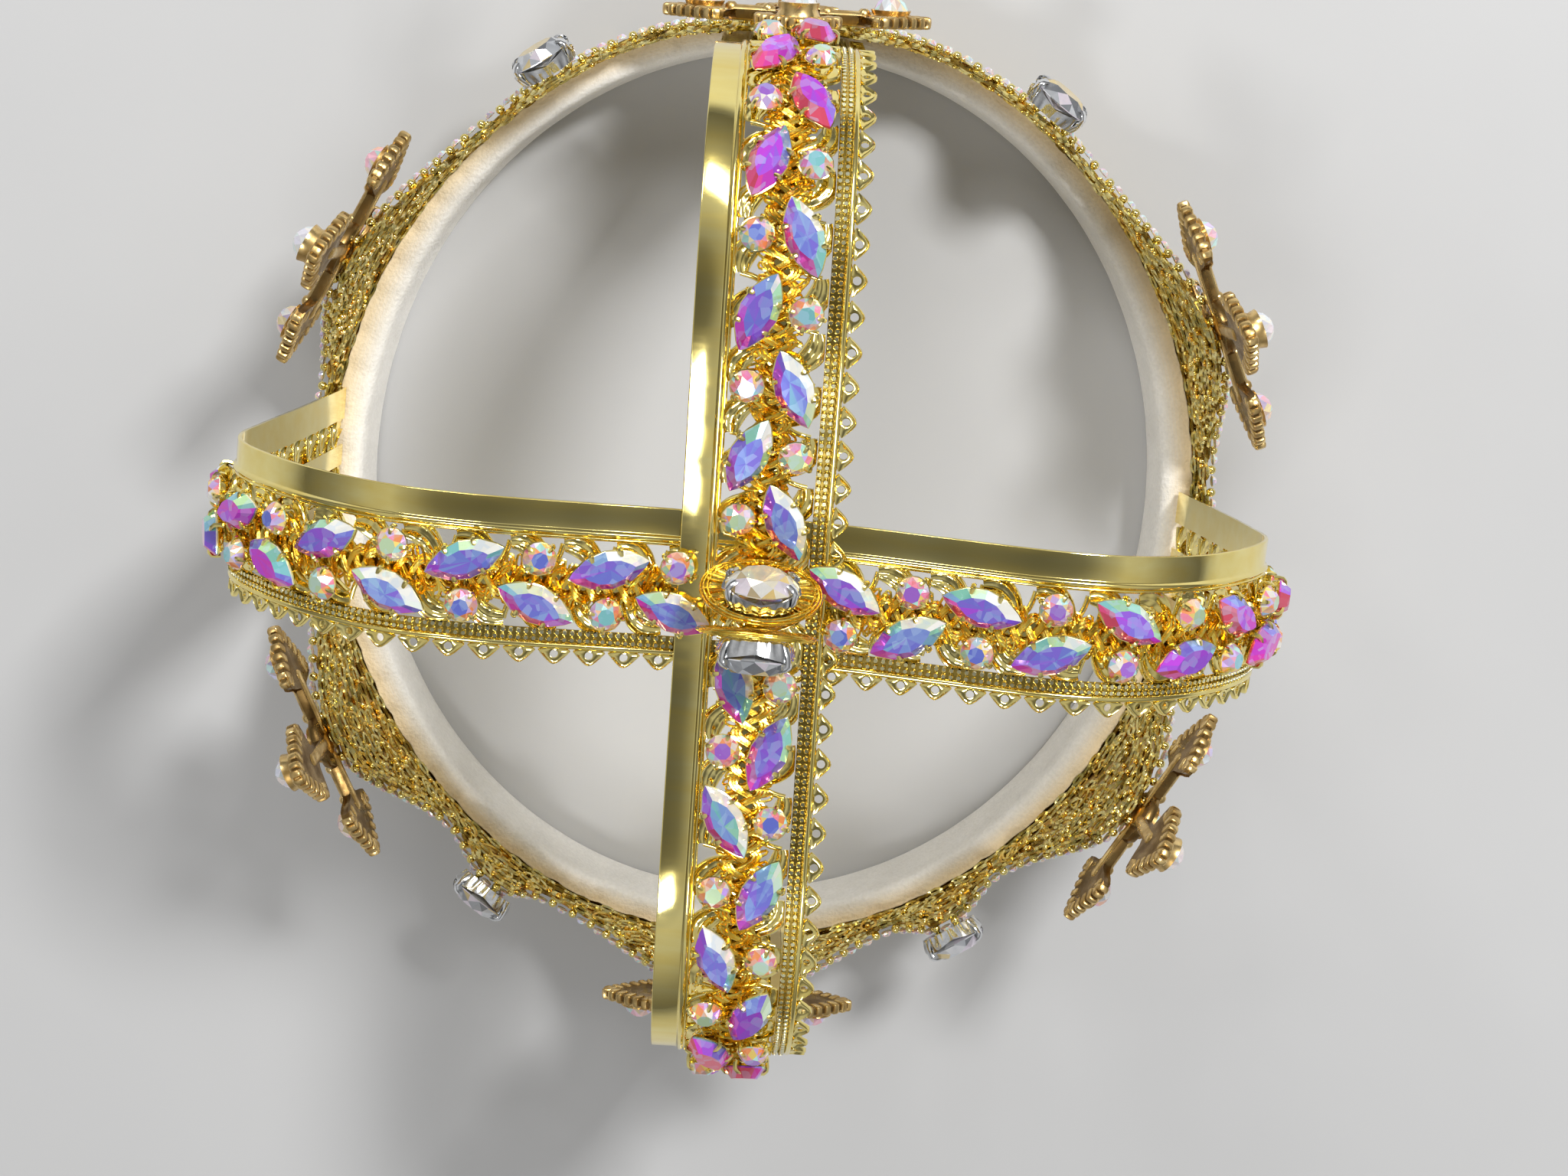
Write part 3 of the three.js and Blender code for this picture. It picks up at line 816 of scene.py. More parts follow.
def chaton_cup():
    """Gold cup under a round stone with four claws."""
    radius, girdle = CHATON["radius"], CHATON["girdle"]
    circle = radius * round_outline(16)
    shapes = [stacked(circle, [(0.72, 0.0), (1.06, girdle - 0.25), (0.95, girdle - 0.15), (0.6, 0.25)])]
    for k in range(4):
        shapes.append(spun(claw(radius, girdle, 0.36), (k + 0.5) * TURN / 4))
    return shapes


CLAW_CORNERS = np.array([0.6, math.pi - 0.6, math.pi + 0.6, TURN - 0.6])
CUP_DIP = 1.3


def silver_cup():
    """Fluted silver cup whose edge dips in a V between four flat claws, for a clear oval stone."""
    angle = np.arange(64) * TURN / 64
    flute = 1 + 0.03 * np.cos(angle * 16)
    half = np.array([OVAL_STONE["length"], OVAL_STONE["width"]]) / 2
    oval_line = round_outline(64) * half
    fluted = oval_line * flute[:, None]
    knots = np.concatenate([CLAW_CORNERS[-1:] - TURN, CLAW_CORNERS, CLAW_CORNERS[:1] + TURN])
    middles = (knots[1:] + knots[:-1]) / 2
    turns = np.sort(np.concatenate([knots, middles]))
    level = np.where(np.isin(turns, middles), CUP_DEPTH - CUP_DIP, CUP_DEPTH)
    edge_up = np.interp(angle, turns, level)
    shapes = [loft([
        flat_ring(fluted, 0.88, 0.0),
        flat_ring(fluted, 0.95, CUP_DEPTH * 0.4),
        flat_ring(oval_line, 1.0, edge_up - 0.25),
        flat_ring(oval_line, 1.01, edge_up),
        flat_ring(oval_line, 0.94, edge_up),
        flat_ring(oval_line, 0.8, 0.9),
    ])]
    for corner in CLAW_CORNERS:
        edge = half * [math.cos(corner), math.sin(corner)]
        out = unit(edge / half ** 2)
        reach = np.dot(edge, out)
        path = np.array([
            (reach * 0.88, 0.3),
            (reach + 0.2, CUP_DEPTH * 0.6),
            (reach + 0.35, CUP_DEPTH + 0.5),
            (reach - 0.3, CUP_DEPTH + 1.2),
            (reach - 1.3, CUP_DEPTH + 1.6),
        ])
        slide = edge - out * reach
        line = np.column_stack([path[:, :1] * out + slide, path[:, 1]])
        side = np.array([-out[1], out[0], 0])
        shapes.append(rod(line, side, 0.3, 0.85, 8))
    return shapes


# The clear stone's half sizes as a share of the cup's sizes, and where its back comes to a point
CLEAR_FIT = {"share": 0.47, "point_up": 1.4}


def clear_oval():
    stone = brilliant(1.0, CUP_DEPTH + 0.1, CUP_DEPTH + STONE_CROWN, 0.6)
    fit = CLEAR_FIT["share"]
    points, faces = scaled(stone, OVAL_STONE["length"] * fit, OVAL_STONE["width"] * fit)
    points[-1, 2] = CLEAR_FIT["point_up"]
    return points, faces


# Gallery strips of the arches: leaves, rails, beads and pierced scallops in one stamped sheet

STRIP_FACE = 0.35


def rolled(across, up, radius, steps=7):
    """Half-round bead of a section, listed toward the scalloped edge."""
    return [
        (across + radius * math.cos(angle), up + radius * math.sin(angle))
        for angle in np.linspace(0.15, math.pi - 0.15, steps)
    ]


FLANGE_SECTION = [
    (15, -STRIP_HALF), (15, 0.25), (14.9, STRIP_FACE), (14.75, STRIP_FACE), (10.2, STRIP_FACE),
    *rolled(9.4, STRIP_FACE, 0.62), *rolled(8.5, 0.3, 0.36), (8.1, -STRIP_HALF), (8.4, -STRIP_HALF),
    (14.8, -STRIP_HALF),
]
RAIL_SECTION = [(-11.0, -STRIP_HALF), *rolled(-11.7, 0.15, 0.6), (-12.35, -STRIP_HALF)]
BEAD_BED = [(-8.7, -STRIP_HALF), (-8.7, -0.05), (-11.15, -0.05), (-11.15, -STRIP_HALF)]
VINE_SECTION = [(-2.3, -STRIP_HALF), (-2.3, 0.1), (0, STRIP_FACE), (2.3, 0.1), (2.3, -STRIP_HALF)]
SHEET_STEP = 1.6
LEAF_REPEAT = 9.6
# The beads' tint pales their gold as a painted highlight
BEAD = {"radius": 0.55, "pitch": 1.4, "rows": (-9.25, -10.5), "up": 0.42, "tint": (1.0, 1.12, 1.9)}
# The bead bed's tint darkens it as painted shade between the beads
BEAD_BED_SHADE = (0.7, 0.6, 0.4)
STRIP_END = 0.2
# One repeat of the vine on the flange side: a leaf that curls over to the rail, and a tendril under it
LEAF = {"tip": (0.2, 7.1), "bow": (5.4, 8.2), "root": (7.2, 0.6), "width": 4.5}
TENDRIL = {"top": (9.7, 7.2), "bow": (8.9, 2.2), "foot": (6.4, 2.4), "width": 0.55}
LEAF_REACH = 8.55
LEAF_SHEET = 0.4
# Half section of a leaf from its midrib to its rim: share across, height, and how deep the veins cut
LEAF_SECTION = [
    (0.0, 0.72, 0.3), (0.12, 0.62, 0.6), (0.34, 0.46, 1.0), (0.5, 0.46, 1.0), (0.62, 0.55, 0.5),
    (0.72, 0.85, 0.0), (0.86, 1.0, 0.0), (0.96, 0.75, 0.0), (1.0, 0.1, 0.0),
]
VEIN = {"depth": 0.13, "along": 3.5, "slant": 0.5}


def bowed(start, bow, end, count):
    """Points along a simple curve from start to end that is pulled toward bow."""
    share = np.linspace(0, 1, count)[:, None]
    start, bow, end = (np.array(point, float) for point in (start, bow, end))
    return start * (1 - share) ** 2 + 2 * bow * share * (1 - share) + end * share ** 2


def stamped_leaf(tip, bow, root, width):
    """Leaf with a rolled rim, a midrib and slanting veins, hollow at the back as stamped sheet is."""
    line = bowed(tip, bow, root, 14)
    way = unit(np.gradient(line, axis=0))
    side = np.stack([way[:, 1], -way[:, 0]], -1)
    share = np.linspace(0, 1, len(line))
    half = width / 2 * np.sin(math.pi * (0.16 + 0.78 * share ** 0.85)) ** 0.7
    near = np.array(LEAF_SECTION)
    places, height, veined = np.concatenate([near[:0:-1] * [-1, 1, 1], near]).T
    vein = np.sin(TURN * (VEIN["along"] * share[:, None] + VEIN["slant"] * np.abs(places)))
    front = height + VEIN["depth"] * veined * vein
    flat = line[:, None] + side[:, None] * (half[:, None] * places)[:, :, None]
    flat[:, :, 1] = np.minimum(flat[:, :, 1], LEAF_REACH)
    back = np.maximum(front - LEAF_SHEET, -STRIP_HALF)
    top = np.concatenate([flat, front[:, :, None]], -1)
    under = np.concatenate([flat, back[:, :, None]], -1)
    return loft(np.concatenate([top, under[:, ::-1]], 1))


def stamped_tendril(top, bow, foot, width):
    line = bowed(top, bow, foot, 10)
    path = np.column_stack([line, np.full(len(line), 0.1)])
    return rod(path, (0, 0, 1), width, 0.5, 6)


SCALLOP = {"across": -12.75, "half": 2.95, "drop": 2.5, "rise": 0.7, "hole": 0.76, "hole_drop": 0.6}


def pierced_scallop():
    """Shield-shaped scallop round a hole, with a raised edge."""
    circle = round_outline(20)
    across, up = circle.T
    hole = circle * SCALLOP["hole"] - (0, SCALLOP["hole_drop"])
    below = np.maximum(0, -up)
    reach = np.where(below > 0, 1.0, 0.75)
    edge = np.stack([
        SCALLOP["half"] * across * (1 - 0.35 * below ** 1.5),
        np.where(below > 0, -SCALLOP["drop"] * below ** 1.6, SCALLOP["rise"] * up),
    ], -1)
    middle = hole * 0.45 + edge * 0.55 * reach[:, None]
    return loft([
        flat_ring(hole, 1.0, -STRIP_HALF),
        flat_ring(hole, 1.0, 0.15),
        flat_ring(middle, 1.0, 0.05),
        flat_ring(edge, 0.94, 0.5),
        flat_ring(edge, 1.0, 0.3),
        flat_ring(edge, 1.0, -STRIP_HALF),
    ], closed=True)


def gallery_strip(name, arch, node):
    heap = Heap()
    start, end = arch.start + STRIP_END, arch.end - STRIP_END
    places = np.linspace(start, end, int((end - start) / SHEET_STEP))
    for section in (FLANGE_SECTION, RAIL_SECTION, VINE_SECTION):
        heap.add(arch.bend(swept(section, places)))
    heap.add(arch.bend(swept(BEAD_BED, places)), BEAD_BED_SHADE)
    vine = [stamped_leaf(**LEAF), stamped_tendril(**TENDRIL)]
    for place in np.arange(start, end - LEAF_REPEAT, LEAF_REPEAT):
        for shape in vine:
            heap.add(arch.bend(shifted(shape, x=place)))
            heap.add(arch.bend(shifted(spun(shape, math.pi), x=place + LEAF_REPEAT)))
    bead = ball(BEAD["radius"], 7, 4)
    along = np.arange(start + 1, end - 1, BEAD["pitch"])
    for across in BEAD["rows"]:
        heap.repeat(bead, slid(arch.frames(along), across, BEAD["up"]), BEAD["tint"])
    scallop = shifted(pierced_scallop(), y=SCALLOP["across"])
    for place in np.arange(start + SCALLOP_PITCH / 2, end - 2, SCALLOP_PITCH):
        heap.add(arch.bend(shifted(scallop, x=place)))
    make_piece(name, heap, POLISHED_GILT, [node], crease=66)


# Stone trims


PLAIT = {
    "length": 9.0, "swing": 2.7, "lift": 0.35, "wire": 0.36, "up": 1.4, "step": 0.8,
    "apart": 0.66, "uneven": 0.06, "rounded": 0.12,
}
GIMP = {
    "pitch": 1.2, "reach": (3.6, 5.0), "half_width": (0.4, 0.75), "wire": 0.27, "up": (0.9, 1.6),
    "root": 1.5, "slip": 1.4, "past_end": 0.5,
}
THREAD_TINTS = [(1.0, 1.0, 0.95), (1.0, 0.92, 0.7), (0.95, 0.76, 0.42)]
MARQUISE_STRAY = math.radians(4)
BRAID_TAIL = 6.0


def plait(arch, start, end):
    """Braid of three plaited strands of three wires, with looped gimp threads out to both sides."""
    heap = Heap()
    draw = np.random.default_rng(5)
    count = int(abs(end - start) / PLAIT["step"])
    along = np.linspace(start, end, count)
    for strand in range(3):
        angle = TURN * along / PLAIT["length"] + strand * TURN / 3
        for wire in (-1, 0, 1):
            uneven = draw.normal(0, PLAIT["uneven"], count)
            across = PLAIT["swing"] * np.sin(angle) + wire * PLAIT["apart"] + uneven
            above = PLAIT["up"] + PLAIT["lift"] * np.sin(2 * angle) - PLAIT["rounded"] * wire ** 2
            path = np.column_stack([along, across, above])
            heap.add(arch.bend(rod(path, (0, 0, 1), PLAIT["wire"], None, 5)), drawn(draw, THREAD_TINTS))
    low, high = min(start, end), max(start, end)
    for place in np.arange(low, high, GIMP["pitch"]):
        for side in (-1, 1):
            root = side * GIMP["root"]
            reach = side * draw.uniform(*GIMP["reach"])
            slip = draw.normal(0, GIMP["slip"])
            up = draw.uniform(*GIMP["up"])
            wide = draw.uniform(*GIMP["half_width"])
            path = np.array([
                (place - wide, root, up),
                (place - wide + slip * 0.6, reach * 0.75, up + 0.1),
                (place - wide * 0.7 + slip * 0.9, reach * 0.95, up),
                (place + slip, reach, up - 0.1),
                (place + wide * 0.7 + slip * 0.9, reach * 0.95, up),
                (place + wide + slip * 0.6, reach * 0.75, up + 0.1),
                (place + wide, root, up),
            ])
            path[:, 0] = np.clip(path[:, 0], low - GIMP["past_end"], high + GIMP["past_end"])
            heap.add(arch.bend(rod(path, (0, 0, 1), GIMP["wire"], None, 5)), drawn(draw, THREAD_TINTS))
    return heap


def seated(shape, spin, across, place):
    """A stone or cup turned on its axis and set on the braid, to one side of the strip's middle."""
    return moved(shifted(spun(shape, spin), y=across, z=SEAT), place)


def stone_trim(name, arch, half, plan, seed):
    """Plaited braid with marquises and round stones on alternate sides, and the cups that hold them."""
    draw = np.random.default_rng(seed)
    stones, cups = Heap(), Heap()
    for k in range(plan["stones"]):
        side = half * plan["lead"] * (1 if k % 2 == 0 else -1)
        place = arch.frames([half * (STONE_FIRST + STONE_PITCH * k)])[0]
        axis = place[:3, 2]
        spin = -half * side * MARQUISE_SLANT + draw.normal(0, MARQUISE_STRAY)
        across = side * MARQUISE["across"]
        marquise = seated(marquise_stone(draw), spin, across, place)
        # Painted shade: stones that lean down the legs, and more so at the front, shift toward red
        lean_shade = min(SHADE_BY_LEAN["by_lean"] * (1 - axis[2]), SHADE_BY_LEAN["most"])
        lean_shade *= 1 + SHADE_BY_LEAN["more_in_front"] * max(-axis[1], 0)
        shift = draw.normal(0, STRAY["stone"]) - lean_shade * draw.uniform(*SHADE_BY_LEAN["share"])
        stones.add_facets(marquise, rainbow_painter(draw, axis, shift))
        for shape in marquise_cup():
            cups.add(seated(shape, spin, across, place))
        spin = draw.uniform(0, TURN / 8)
        across = -side * CHATON["across"]
        chaton = brilliant(CHATON["radius"], CHATON["girdle"], CHATON["height"])
        stones.add_facets(seated(chaton, spin, across, place), confetti_painter(draw, axis))
        for shape in chaton_cup():
            cups.add(seated(shape, spin, across, place))
    make_piece(f"{name}_stones", stones, RAINBOW_STONE, [name])
    make_piece(f"{name}_cups", cups, POLISHED_GILT, crease=45)
    last = STONE_FIRST + STONE_PITCH * (plan["stones"] - 1) + BRAID_TAIL
    braid = plait(arch, half * plan["from"], half * last)
    make_piece(f"{name}_braid", braid, THREAD_GILT, crease=60)


# Lace band: chains of stitches, level below and following the rim above, on a thin net


LINK = {
    "pitch": 3.0, "row": 2.25, "length": 4.1, "width": 2.2, "wire": 0.4, "twist": math.radians(24),
    "wobble": 0.22, "depth": 0.25,
}
LINK_TINTS = [(1.0, 1.0, 1.0), (1.0, 0.96, 0.8), (0.92, 0.74, 0.4), (0.55, 0.54, 0.4), (0.36, 0.27, 0.12)]
LINK_SHARES = [0.36, 0.22, 0.16, 0.14, 0.12]
ROW_SAMPLES = 1441
# Level rows start above the foot and end below the valleys; the rows over them start below the rim
LACE_ROWS = {"first": 1.9, "below_valley": 3.0, "below_rim": 1.0, "past_peak": 4.0, "apart": 0.7}
BY_FELT = {"above": 0.8, "inward": 0.75}


def lace_link(side):
    """One oval link of a chain, twisted out of the wall to one side; X runs along the row."""
    along, across = round_outline(8).T
    across = (LINK["width"] / 2 - LINK["wire"]) * across
    path = np.column_stack([
        (LINK["length"] / 2 - LINK["wire"]) * along,
        across * math.cos(LINK["twist"]),
        side * across * math.sin(LINK["twist"]),
    ])
    return rod(path, (0, 0, 1), LINK["wire"], None, 4, closed=True)


def wall_frames(azimuth, up):
    """Placing matrices along a row on the middle of the lace: X along the row, Z out of the wall."""
    flare = lace_flare(azimuth)
    origin = band_points(azimuth, lace_inner(azimuth, up) + LACE_WALL / 2, up)
    normal = oval(azimuth)[1]
    out = unit(np.column_stack([normal, -flare]))
    along = np.gradient(origin, axis=0)
    side = unit(np.cross(out, along))
    return frames_of(origin, unit(np.cross(side, out)), side, out)


def evenly(azimuth, up, pitch, lead=0.5):
    """The row's azimuths and heights again, spaced evenly along it from a lead of less than one pitch."""
    walked = walked_along(band_points(azimuth, lace_inner(azimuth, up), up))
    count = int(walked[-1] / pitch)
    if count < 3:
        return None
    place = (np.arange(count) + lead) * walked[-1] / count
    return np.interp(place, walked, azimuth), np.interp(place, walked, up)


def rim_rows(azimuth, below, lowest):
    """Stretches of the row that runs below the rim, where it stays above the lowest height."""
    up = lace_rim(azimuth) - below
    keep = up > lowest
    edges = np.flatnonzero(np.diff(keep.astype(int)))
    return [
        (azimuth[run], up[run])
        for run in np.split(np.arange(len(azimuth)), edges + 1)
        if keep[run[0]]
    ]


def level_row(up):
    return np.linspace(0, TURN, ROW_SAMPLES), np.full(ROW_SAMPLES, up)


def lace_rows():
    """Level rows up to the valleys, and the rows over them that follow the rim."""
    azimuth = np.linspace(0, TURN, ROW_SAMPLES)
    levels = np.arange(LACE_ROWS["first"], LACE_VALLEY - LACE_ROWS["below_valley"], LINK["row"])
    lowest = levels[-1] + LINK["row"] * LACE_ROWS["apart"]
    deepest = TALL_PEAK["rise"] + LACE_ROWS["past_peak"]
    upper = []
    for below in np.arange(LACE_ROWS["below_rim"], deepest, LINK["row"]):
        upper += rim_rows(azimuth, below, lowest)
    return [level_row(level) for level in levels], upper


def lace_chains(name, rows, seed, inward=0.0):
    """Chains of links along the rows, shifted inward from the middle of the wall."""
    draw = np.random.default_rng(seed)
    heap = Heap()
    for azimuth, up in rows:
        row = evenly(azimuth, up, LINK["pitch"], draw.uniform(0.1, 0.9))
        if row is None:
            continue
        frames = wall_frames(*row)
        count = len(frames)
        wobble = draw.normal(0, LINK["wobble"], count)[:, None]
        depth = draw.uniform(-LINK["depth"], LINK["depth"], count) - inward
        turned = slid(frames, above=depth)
        turned[:, :3, 0] += frames[:, :3, 1] * wobble
        turned[:, :3, 1] -= frames[:, :3, 0] * wobble
        kind = draw.choice(len(LINK_TINTS), count, p=LINK_SHARES)
        for side in (0, 1):
            for index, tint in enumerate(LINK_TINTS):
                pick = (kind == index) & (np.arange(count) % 2 == side)
                heap.repeat(lace_link(2 * side - 1), turned[pick], tint)
    make_piece(name, heap, LACE_GILT, crease=60)


# The net's tint darkens it as painted shade in the gaps between the chains
NET = {"steps": 360, "foot": 0.3, "below_rim": 0.6, "inner": 0.85, "outer": 1.15, "tint": (0.42, 0.3, 0.14)}


def lace_net():
    """Thin net that the chains are worked on, inside the wall, darkened as painted shade between the
    chains.
    """
    azimuth = np.arange(NET["steps"]) * TURN / NET["steps"]
    foot = np.full(NET["steps"], NET["foot"])
    rim = lace_rim(azimuth) - NET["below_rim"]
    corners = [(foot, NET["inner"]), (foot, NET["outer"]), (rim, NET["outer"]), (rim, NET["inner"])]
    section = [band_points(azimuth, lace_inner(azimuth, up) + out, up) for up, out in corners]
    heap = Heap()
    heap.add(loft(np.stack(section, 1), closed=True), NET["tint"])
    make_piece("lace_net", heap, LACE_GILT, ["lace_band"], crease=50)


LOOP = {
    "count": 340, "half_width": (1.3, 2.4), "half_height": (2.2, 4.0), "wire": 0.3, "off": 0.75,
    "clear": 4.5, "turn": 0.5,
}


def lace_loops():
    """Loops of cord worked over both faces of the peaks, above the felt."""
    draw = np.random.default_rng(27)
    heap = Heap()
    azimuth = np.sort(draw.uniform(0, TURN, LOOP["count"]))
    low = FELT_TOP + LOOP["clear"]
    high = lace_rim(azimuth) - LOOP["clear"]
    azimuth, high = azimuth[high > low], high[high > low]
    frames = wall_frames(azimuth, draw.uniform(low, high))
    for number, place in enumerate(frames):
        half = [draw.uniform(*LOOP["half_width"]), draw.uniform(*LOOP["half_height"])]
        face = 1 if number % 3 == 0 else -1
        path = flat_ring(round_outline(14), half, face * LOOP["off"])
        cord = rod(path, (0, 0, 1), LOOP["wire"], None, 4, closed=True)
        cord = spun(cord, draw.normal(0, LOOP["turn"]))
        heap.add(moved(cord, place), drawn(draw, LINK_TINTS[:3]))
    make_piece("lace_loops", heap, LACE_GILT, crease=60)


RIM_BEAD = {"radius": 1.05, "pitch": 2.5, "below_rim": 1.4, "off": 1.5}
SEED_STONE = {"radius": 1.25, "girdle": 0.3, "height": 1.1}
SEED_PALE = 0.4
# Beads among the chains, with the share of places that has one in the level rows and in the peaks
CHAIN_BEAD = {"radius": 0.66, "pitch": 1.2, "off": 0.85, "shares": (0.05, 0.16), "above_felt": 1.5}
BEAD_TINTS = [(1.0, 1.0, 1.0), (1.0, 0.95, 0.8), (1.0, 0.74, 0.36)]


def lace_beads(lower, upper):
    """Gold beads and small stones sewn along the outside of the rim, and beads among the chains."""
    draw = np.random.default_rng(21)
    azimuth = np.linspace(0, TURN, ROW_SAMPLES)
    gold, seeds = Heap(), Heap()
    row = evenly(azimuth, lace_rim(azimuth) - RIM_BEAD["below_rim"], RIM_BEAD["pitch"])
    frames = slid(wall_frames(*row), above=RIM_BEAD["off"])
    gold.repeat(ball(RIM_BEAD["radius"], 8, 6), frames[::2])
    seed_shape = brilliant(**SEED_STONE)
    for place in frames[1::2]:
        seeds.add_facets(moved(seed_shape, place), confetti_painter(draw, place[:3, 2], SEED_PALE))
    for rows, share in zip((lower, upper), CHAIN_BEAD["shares"]):
        for line in rows:
            spaced = evenly(*line, CHAIN_BEAD["pitch"])
            if spaced is None:
                continue
            pick = draw.uniform(0, 1, len(spaced[0])) < share
            if pick.sum() < 3:
                continue
            places = wall_frames(*spaced)[pick]
            above_felt = spaced[1][pick] > FELT_TOP + CHAIN_BEAD["above_felt"]
            face = np.where(above_felt, draw.choice([-1.0, -1.0, 1.0], len(places)), 1.0)
            places = slid(places, above=face * CHAIN_BEAD["off"])
            kind = draw.integers(0, len(BEAD_TINTS), len(places))
            for index, tint in enumerate(BEAD_TINTS):
                gold.repeat(ball(CHAIN_BEAD["radius"], 6, 4), places[kind == index], tint)
    make_piece("lace_beads", gold, POLISHED_GILT, crease=60)
    make_piece("lace_seed_stones", seeds, RAINBOW_STONE)


# Felt lining


FELT_GRID = {"around": 300, "section": 22}
FELT_MIDDLE = np.array([3.0, 9.0])
# The skin starts a little inside its final place, then swells; no point moves further than the most
FELT_SWELL = {"inset": 0.5, "pressure": 4.0, "frames": 20, "most": 0.9}
# Stitches that pull the felt's outer edge in to the lace
STITCH = {"count": 34, "stray": 0.02, "dent": 0.6, "above": 10.0}
# Where the felt touches and lies on the lace, the height of its foot, and margins of the glued parts
FELT_HOLD = {"touches": 3.0, "lies": 5.0, "foot": 3.0, "base": 1.0, "by_lace": 0.7, "below_top": 1.5}
FELT_UNEVEN = {"matted": 0.07, "waves": 0.03, "full_above": 4.0, "below_top": 0.05}
FELT_WAVES = (11, 17, 26, 39, 63, 97)
# How much of red, green and blue the warm light through the lace takes away
FELT_WARM = np.array([0.0, 0.16, 0.42])


def felt_curve(steps):
    """Smooth closed section of the felt at even steps: out, up and warmth."""
    rows = np.array([[row["out"], row["up"], row["warm"]] for row in FELT_SECTION])
    knots = np.concatenate([rows[-1:], rows, rows[:2]])
    share = np.linspace(0, len(rows), steps, endpoint=False)
    base = share.astype(int)
    t = (share - base)[:, None]
    before, start, end, after = (knots[base + k] for k in range(4))
    curve = start + 0.5 * t * (end - before)
    curve = curve + 0.5 * t ** 2 * (2 * before - 5 * start + 4 * end - after)
    curve = curve + 0.5 * t ** 3 * (3 * start - before - 3 * end + after)
    return np.clip(curve, 0, [FELT_OUTER + 0.4, FELT_TOP - 0.1, 1.0])


def swollen(shape, held):
    """Points of a closed skin after air inside it lifts all but the held points, as a cloth simulation."""
    points, faces = shape
    mesh = bpy.data.meshes.new("felt_skin")
    mesh.from_pydata((points * MM).tolist(), [], faces[0].tolist())
    skin = bpy.data.objects.new("felt_skin", mesh)
    scene = bpy.context.scene
    scene.collection.objects.link(skin)
    skin.vertex_groups.new(name="held").add(np.flatnonzero(held).tolist(), 1.0, "REPLACE")
    padding = skin.modifiers.new("padding", "CLOTH")
    padding.settings.vertex_group_mass = "held"
    padding.settings.use_pressure = True
    padding.settings.uniform_pressure_force = FELT_SWELL["pressure"]
    padding.settings.effector_weights.gravity = 0.0
    padding.collision_settings.use_collision = False
    padding.point_cache.frame_end = FELT_SWELL["frames"]
    for moment in range(1, FELT_SWELL["frames"] + 1):
        scene.frame_set(moment)
    puffed = skin.evaluated_get(bpy.context.evaluated_depsgraph_get()).data
    after = np.empty(len(points) * 3)
    puffed.vertices.foreach_get("co", after)
    move = after.reshape(-1, 3) / MM - points
    length = np.linalg.norm(move, axis=1, keepdims=True)
    bpy.data.objects.remove(skin)
    bpy.data.meshes.remove(mesh)
    scene.frame_set(1)
    return points + move * np.minimum(1.0, FELT_SWELL["most"] / np.maximum(length, 1e-9))


def doubled(grid, axis):
    """Twice as many points along a closed axis, with smooth points in between."""
    ahead = np.roll(grid, -1, axis)
    between = (9 * (grid + ahead) - np.roll(grid, 1, axis) - np.roll(grid, -2, axis)) / 16
    size = list(grid.shape)
    size[axis] *= 2
    return np.stack([grid, between], axis + 1).reshape(size)


def felt_skin(curve):
    """Rings of the felt before it swells, drawn in at the stitches, and which of their points are held."""
    azimuth = np.arange(FELT_GRID["around"]) * TURN / FELT_GRID["around"]
    stitches = np.cos((azimuth + STITCH["stray"] * np.sin(5 * azimuth)) * STITCH["count"]) ** 10
    touches, lies = FELT_HOLD["touches"], FELT_HOLD["lies"]
    rings, held = [], []
    for out, up, _ in curve:
        by_lace = min(1.0, max(0.0, (out - touches) / (lies - touches)))
        sewn = stitches * by_lace * (up > STITCH["above"])
        inset = FELT_SWELL["inset"] * (1 - by_lace) * min(1.0, up / FELT_HOLD["foot"])
        inward = inset + STITCH["dent"] * sewn
        way = unit(np.array([out, up]) - FELT_MIDDLE)
        lean = (lace_inner(azimuth, up) - LACE_INNER) * out / FELT_OUTER
        rings.append(band_points(azimuth, out + lean - way[0] * inward, up - way[1] * inward))
        on_lace = out > FELT_OUTER - FELT_HOLD["by_lace"] and up < FELT_TOP - FELT_HOLD["below_top"]
        held.append((sewn > 0.5) | (up < FELT_HOLD["base"] or on_lace))
    return np.stack(rings, 1), np.stack(held, 1)


def uneven_felt(grid):
    """The felt's rings with points moved in and out as in matted wool, less toward the base."""
    draw = np.random.default_rng(3)
    around, section = grid.shape[:2]
    matted = draw.normal(0, 1, (around, section))
    for axis in (0, 1):
        matted = (np.roll(matted, 1, axis) + 2 * matted + np.roll(matted, -1, axis)) / 4
    turn = np.linspace(0, TURN, around, endpoint=False)[:, None]
    waves = sum(
        np.sin(turn * count + draw.uniform(0, TURN) + np.arange(section) * draw.uniform(0.1, 0.3))
        for count in FELT_WAVES
    )
    uneven = FELT_UNEVEN["matted"] * matted + FELT_UNEVEN["waves"] * waves
    uneven *= np.clip(grid[:, :, 2] / FELT_UNEVEN["full_above"], 0, 1)
    grid = grid + unit(grid - grid.mean(axis=1, keepdims=True)) * uneven[:, :, None]
    grid[:, :, 2] = np.clip(grid[:, :, 2], 0, FELT_TOP - FELT_UNEVEN["below_top"])
    return grid


def felt_lining():
    """Padded ring that swells between its base, the lace and the stitches."""
    curve = felt_curve(FELT_GRID["section"])
    grid, held = felt_skin(curve)
    grid = swollen(loft(grid, closed=True), held.ravel()).reshape(grid.shape)
    grid = uneven_felt(doubled(doubled(grid, 0), 1))
    heap = Heap()
    heap.add(loft(grid, closed=True))
    warm_faces = np.tile(np.clip(doubled(curve[:, 2], 0), 0, 1), len(grid))
    heap.tints[0] = 1 - warm_faces[:, None] * FELT_WARM
    piece = make_piece("felt_ring", heap, CREAM_FELT, ["felt_lining"], crease=80)


# Crosses

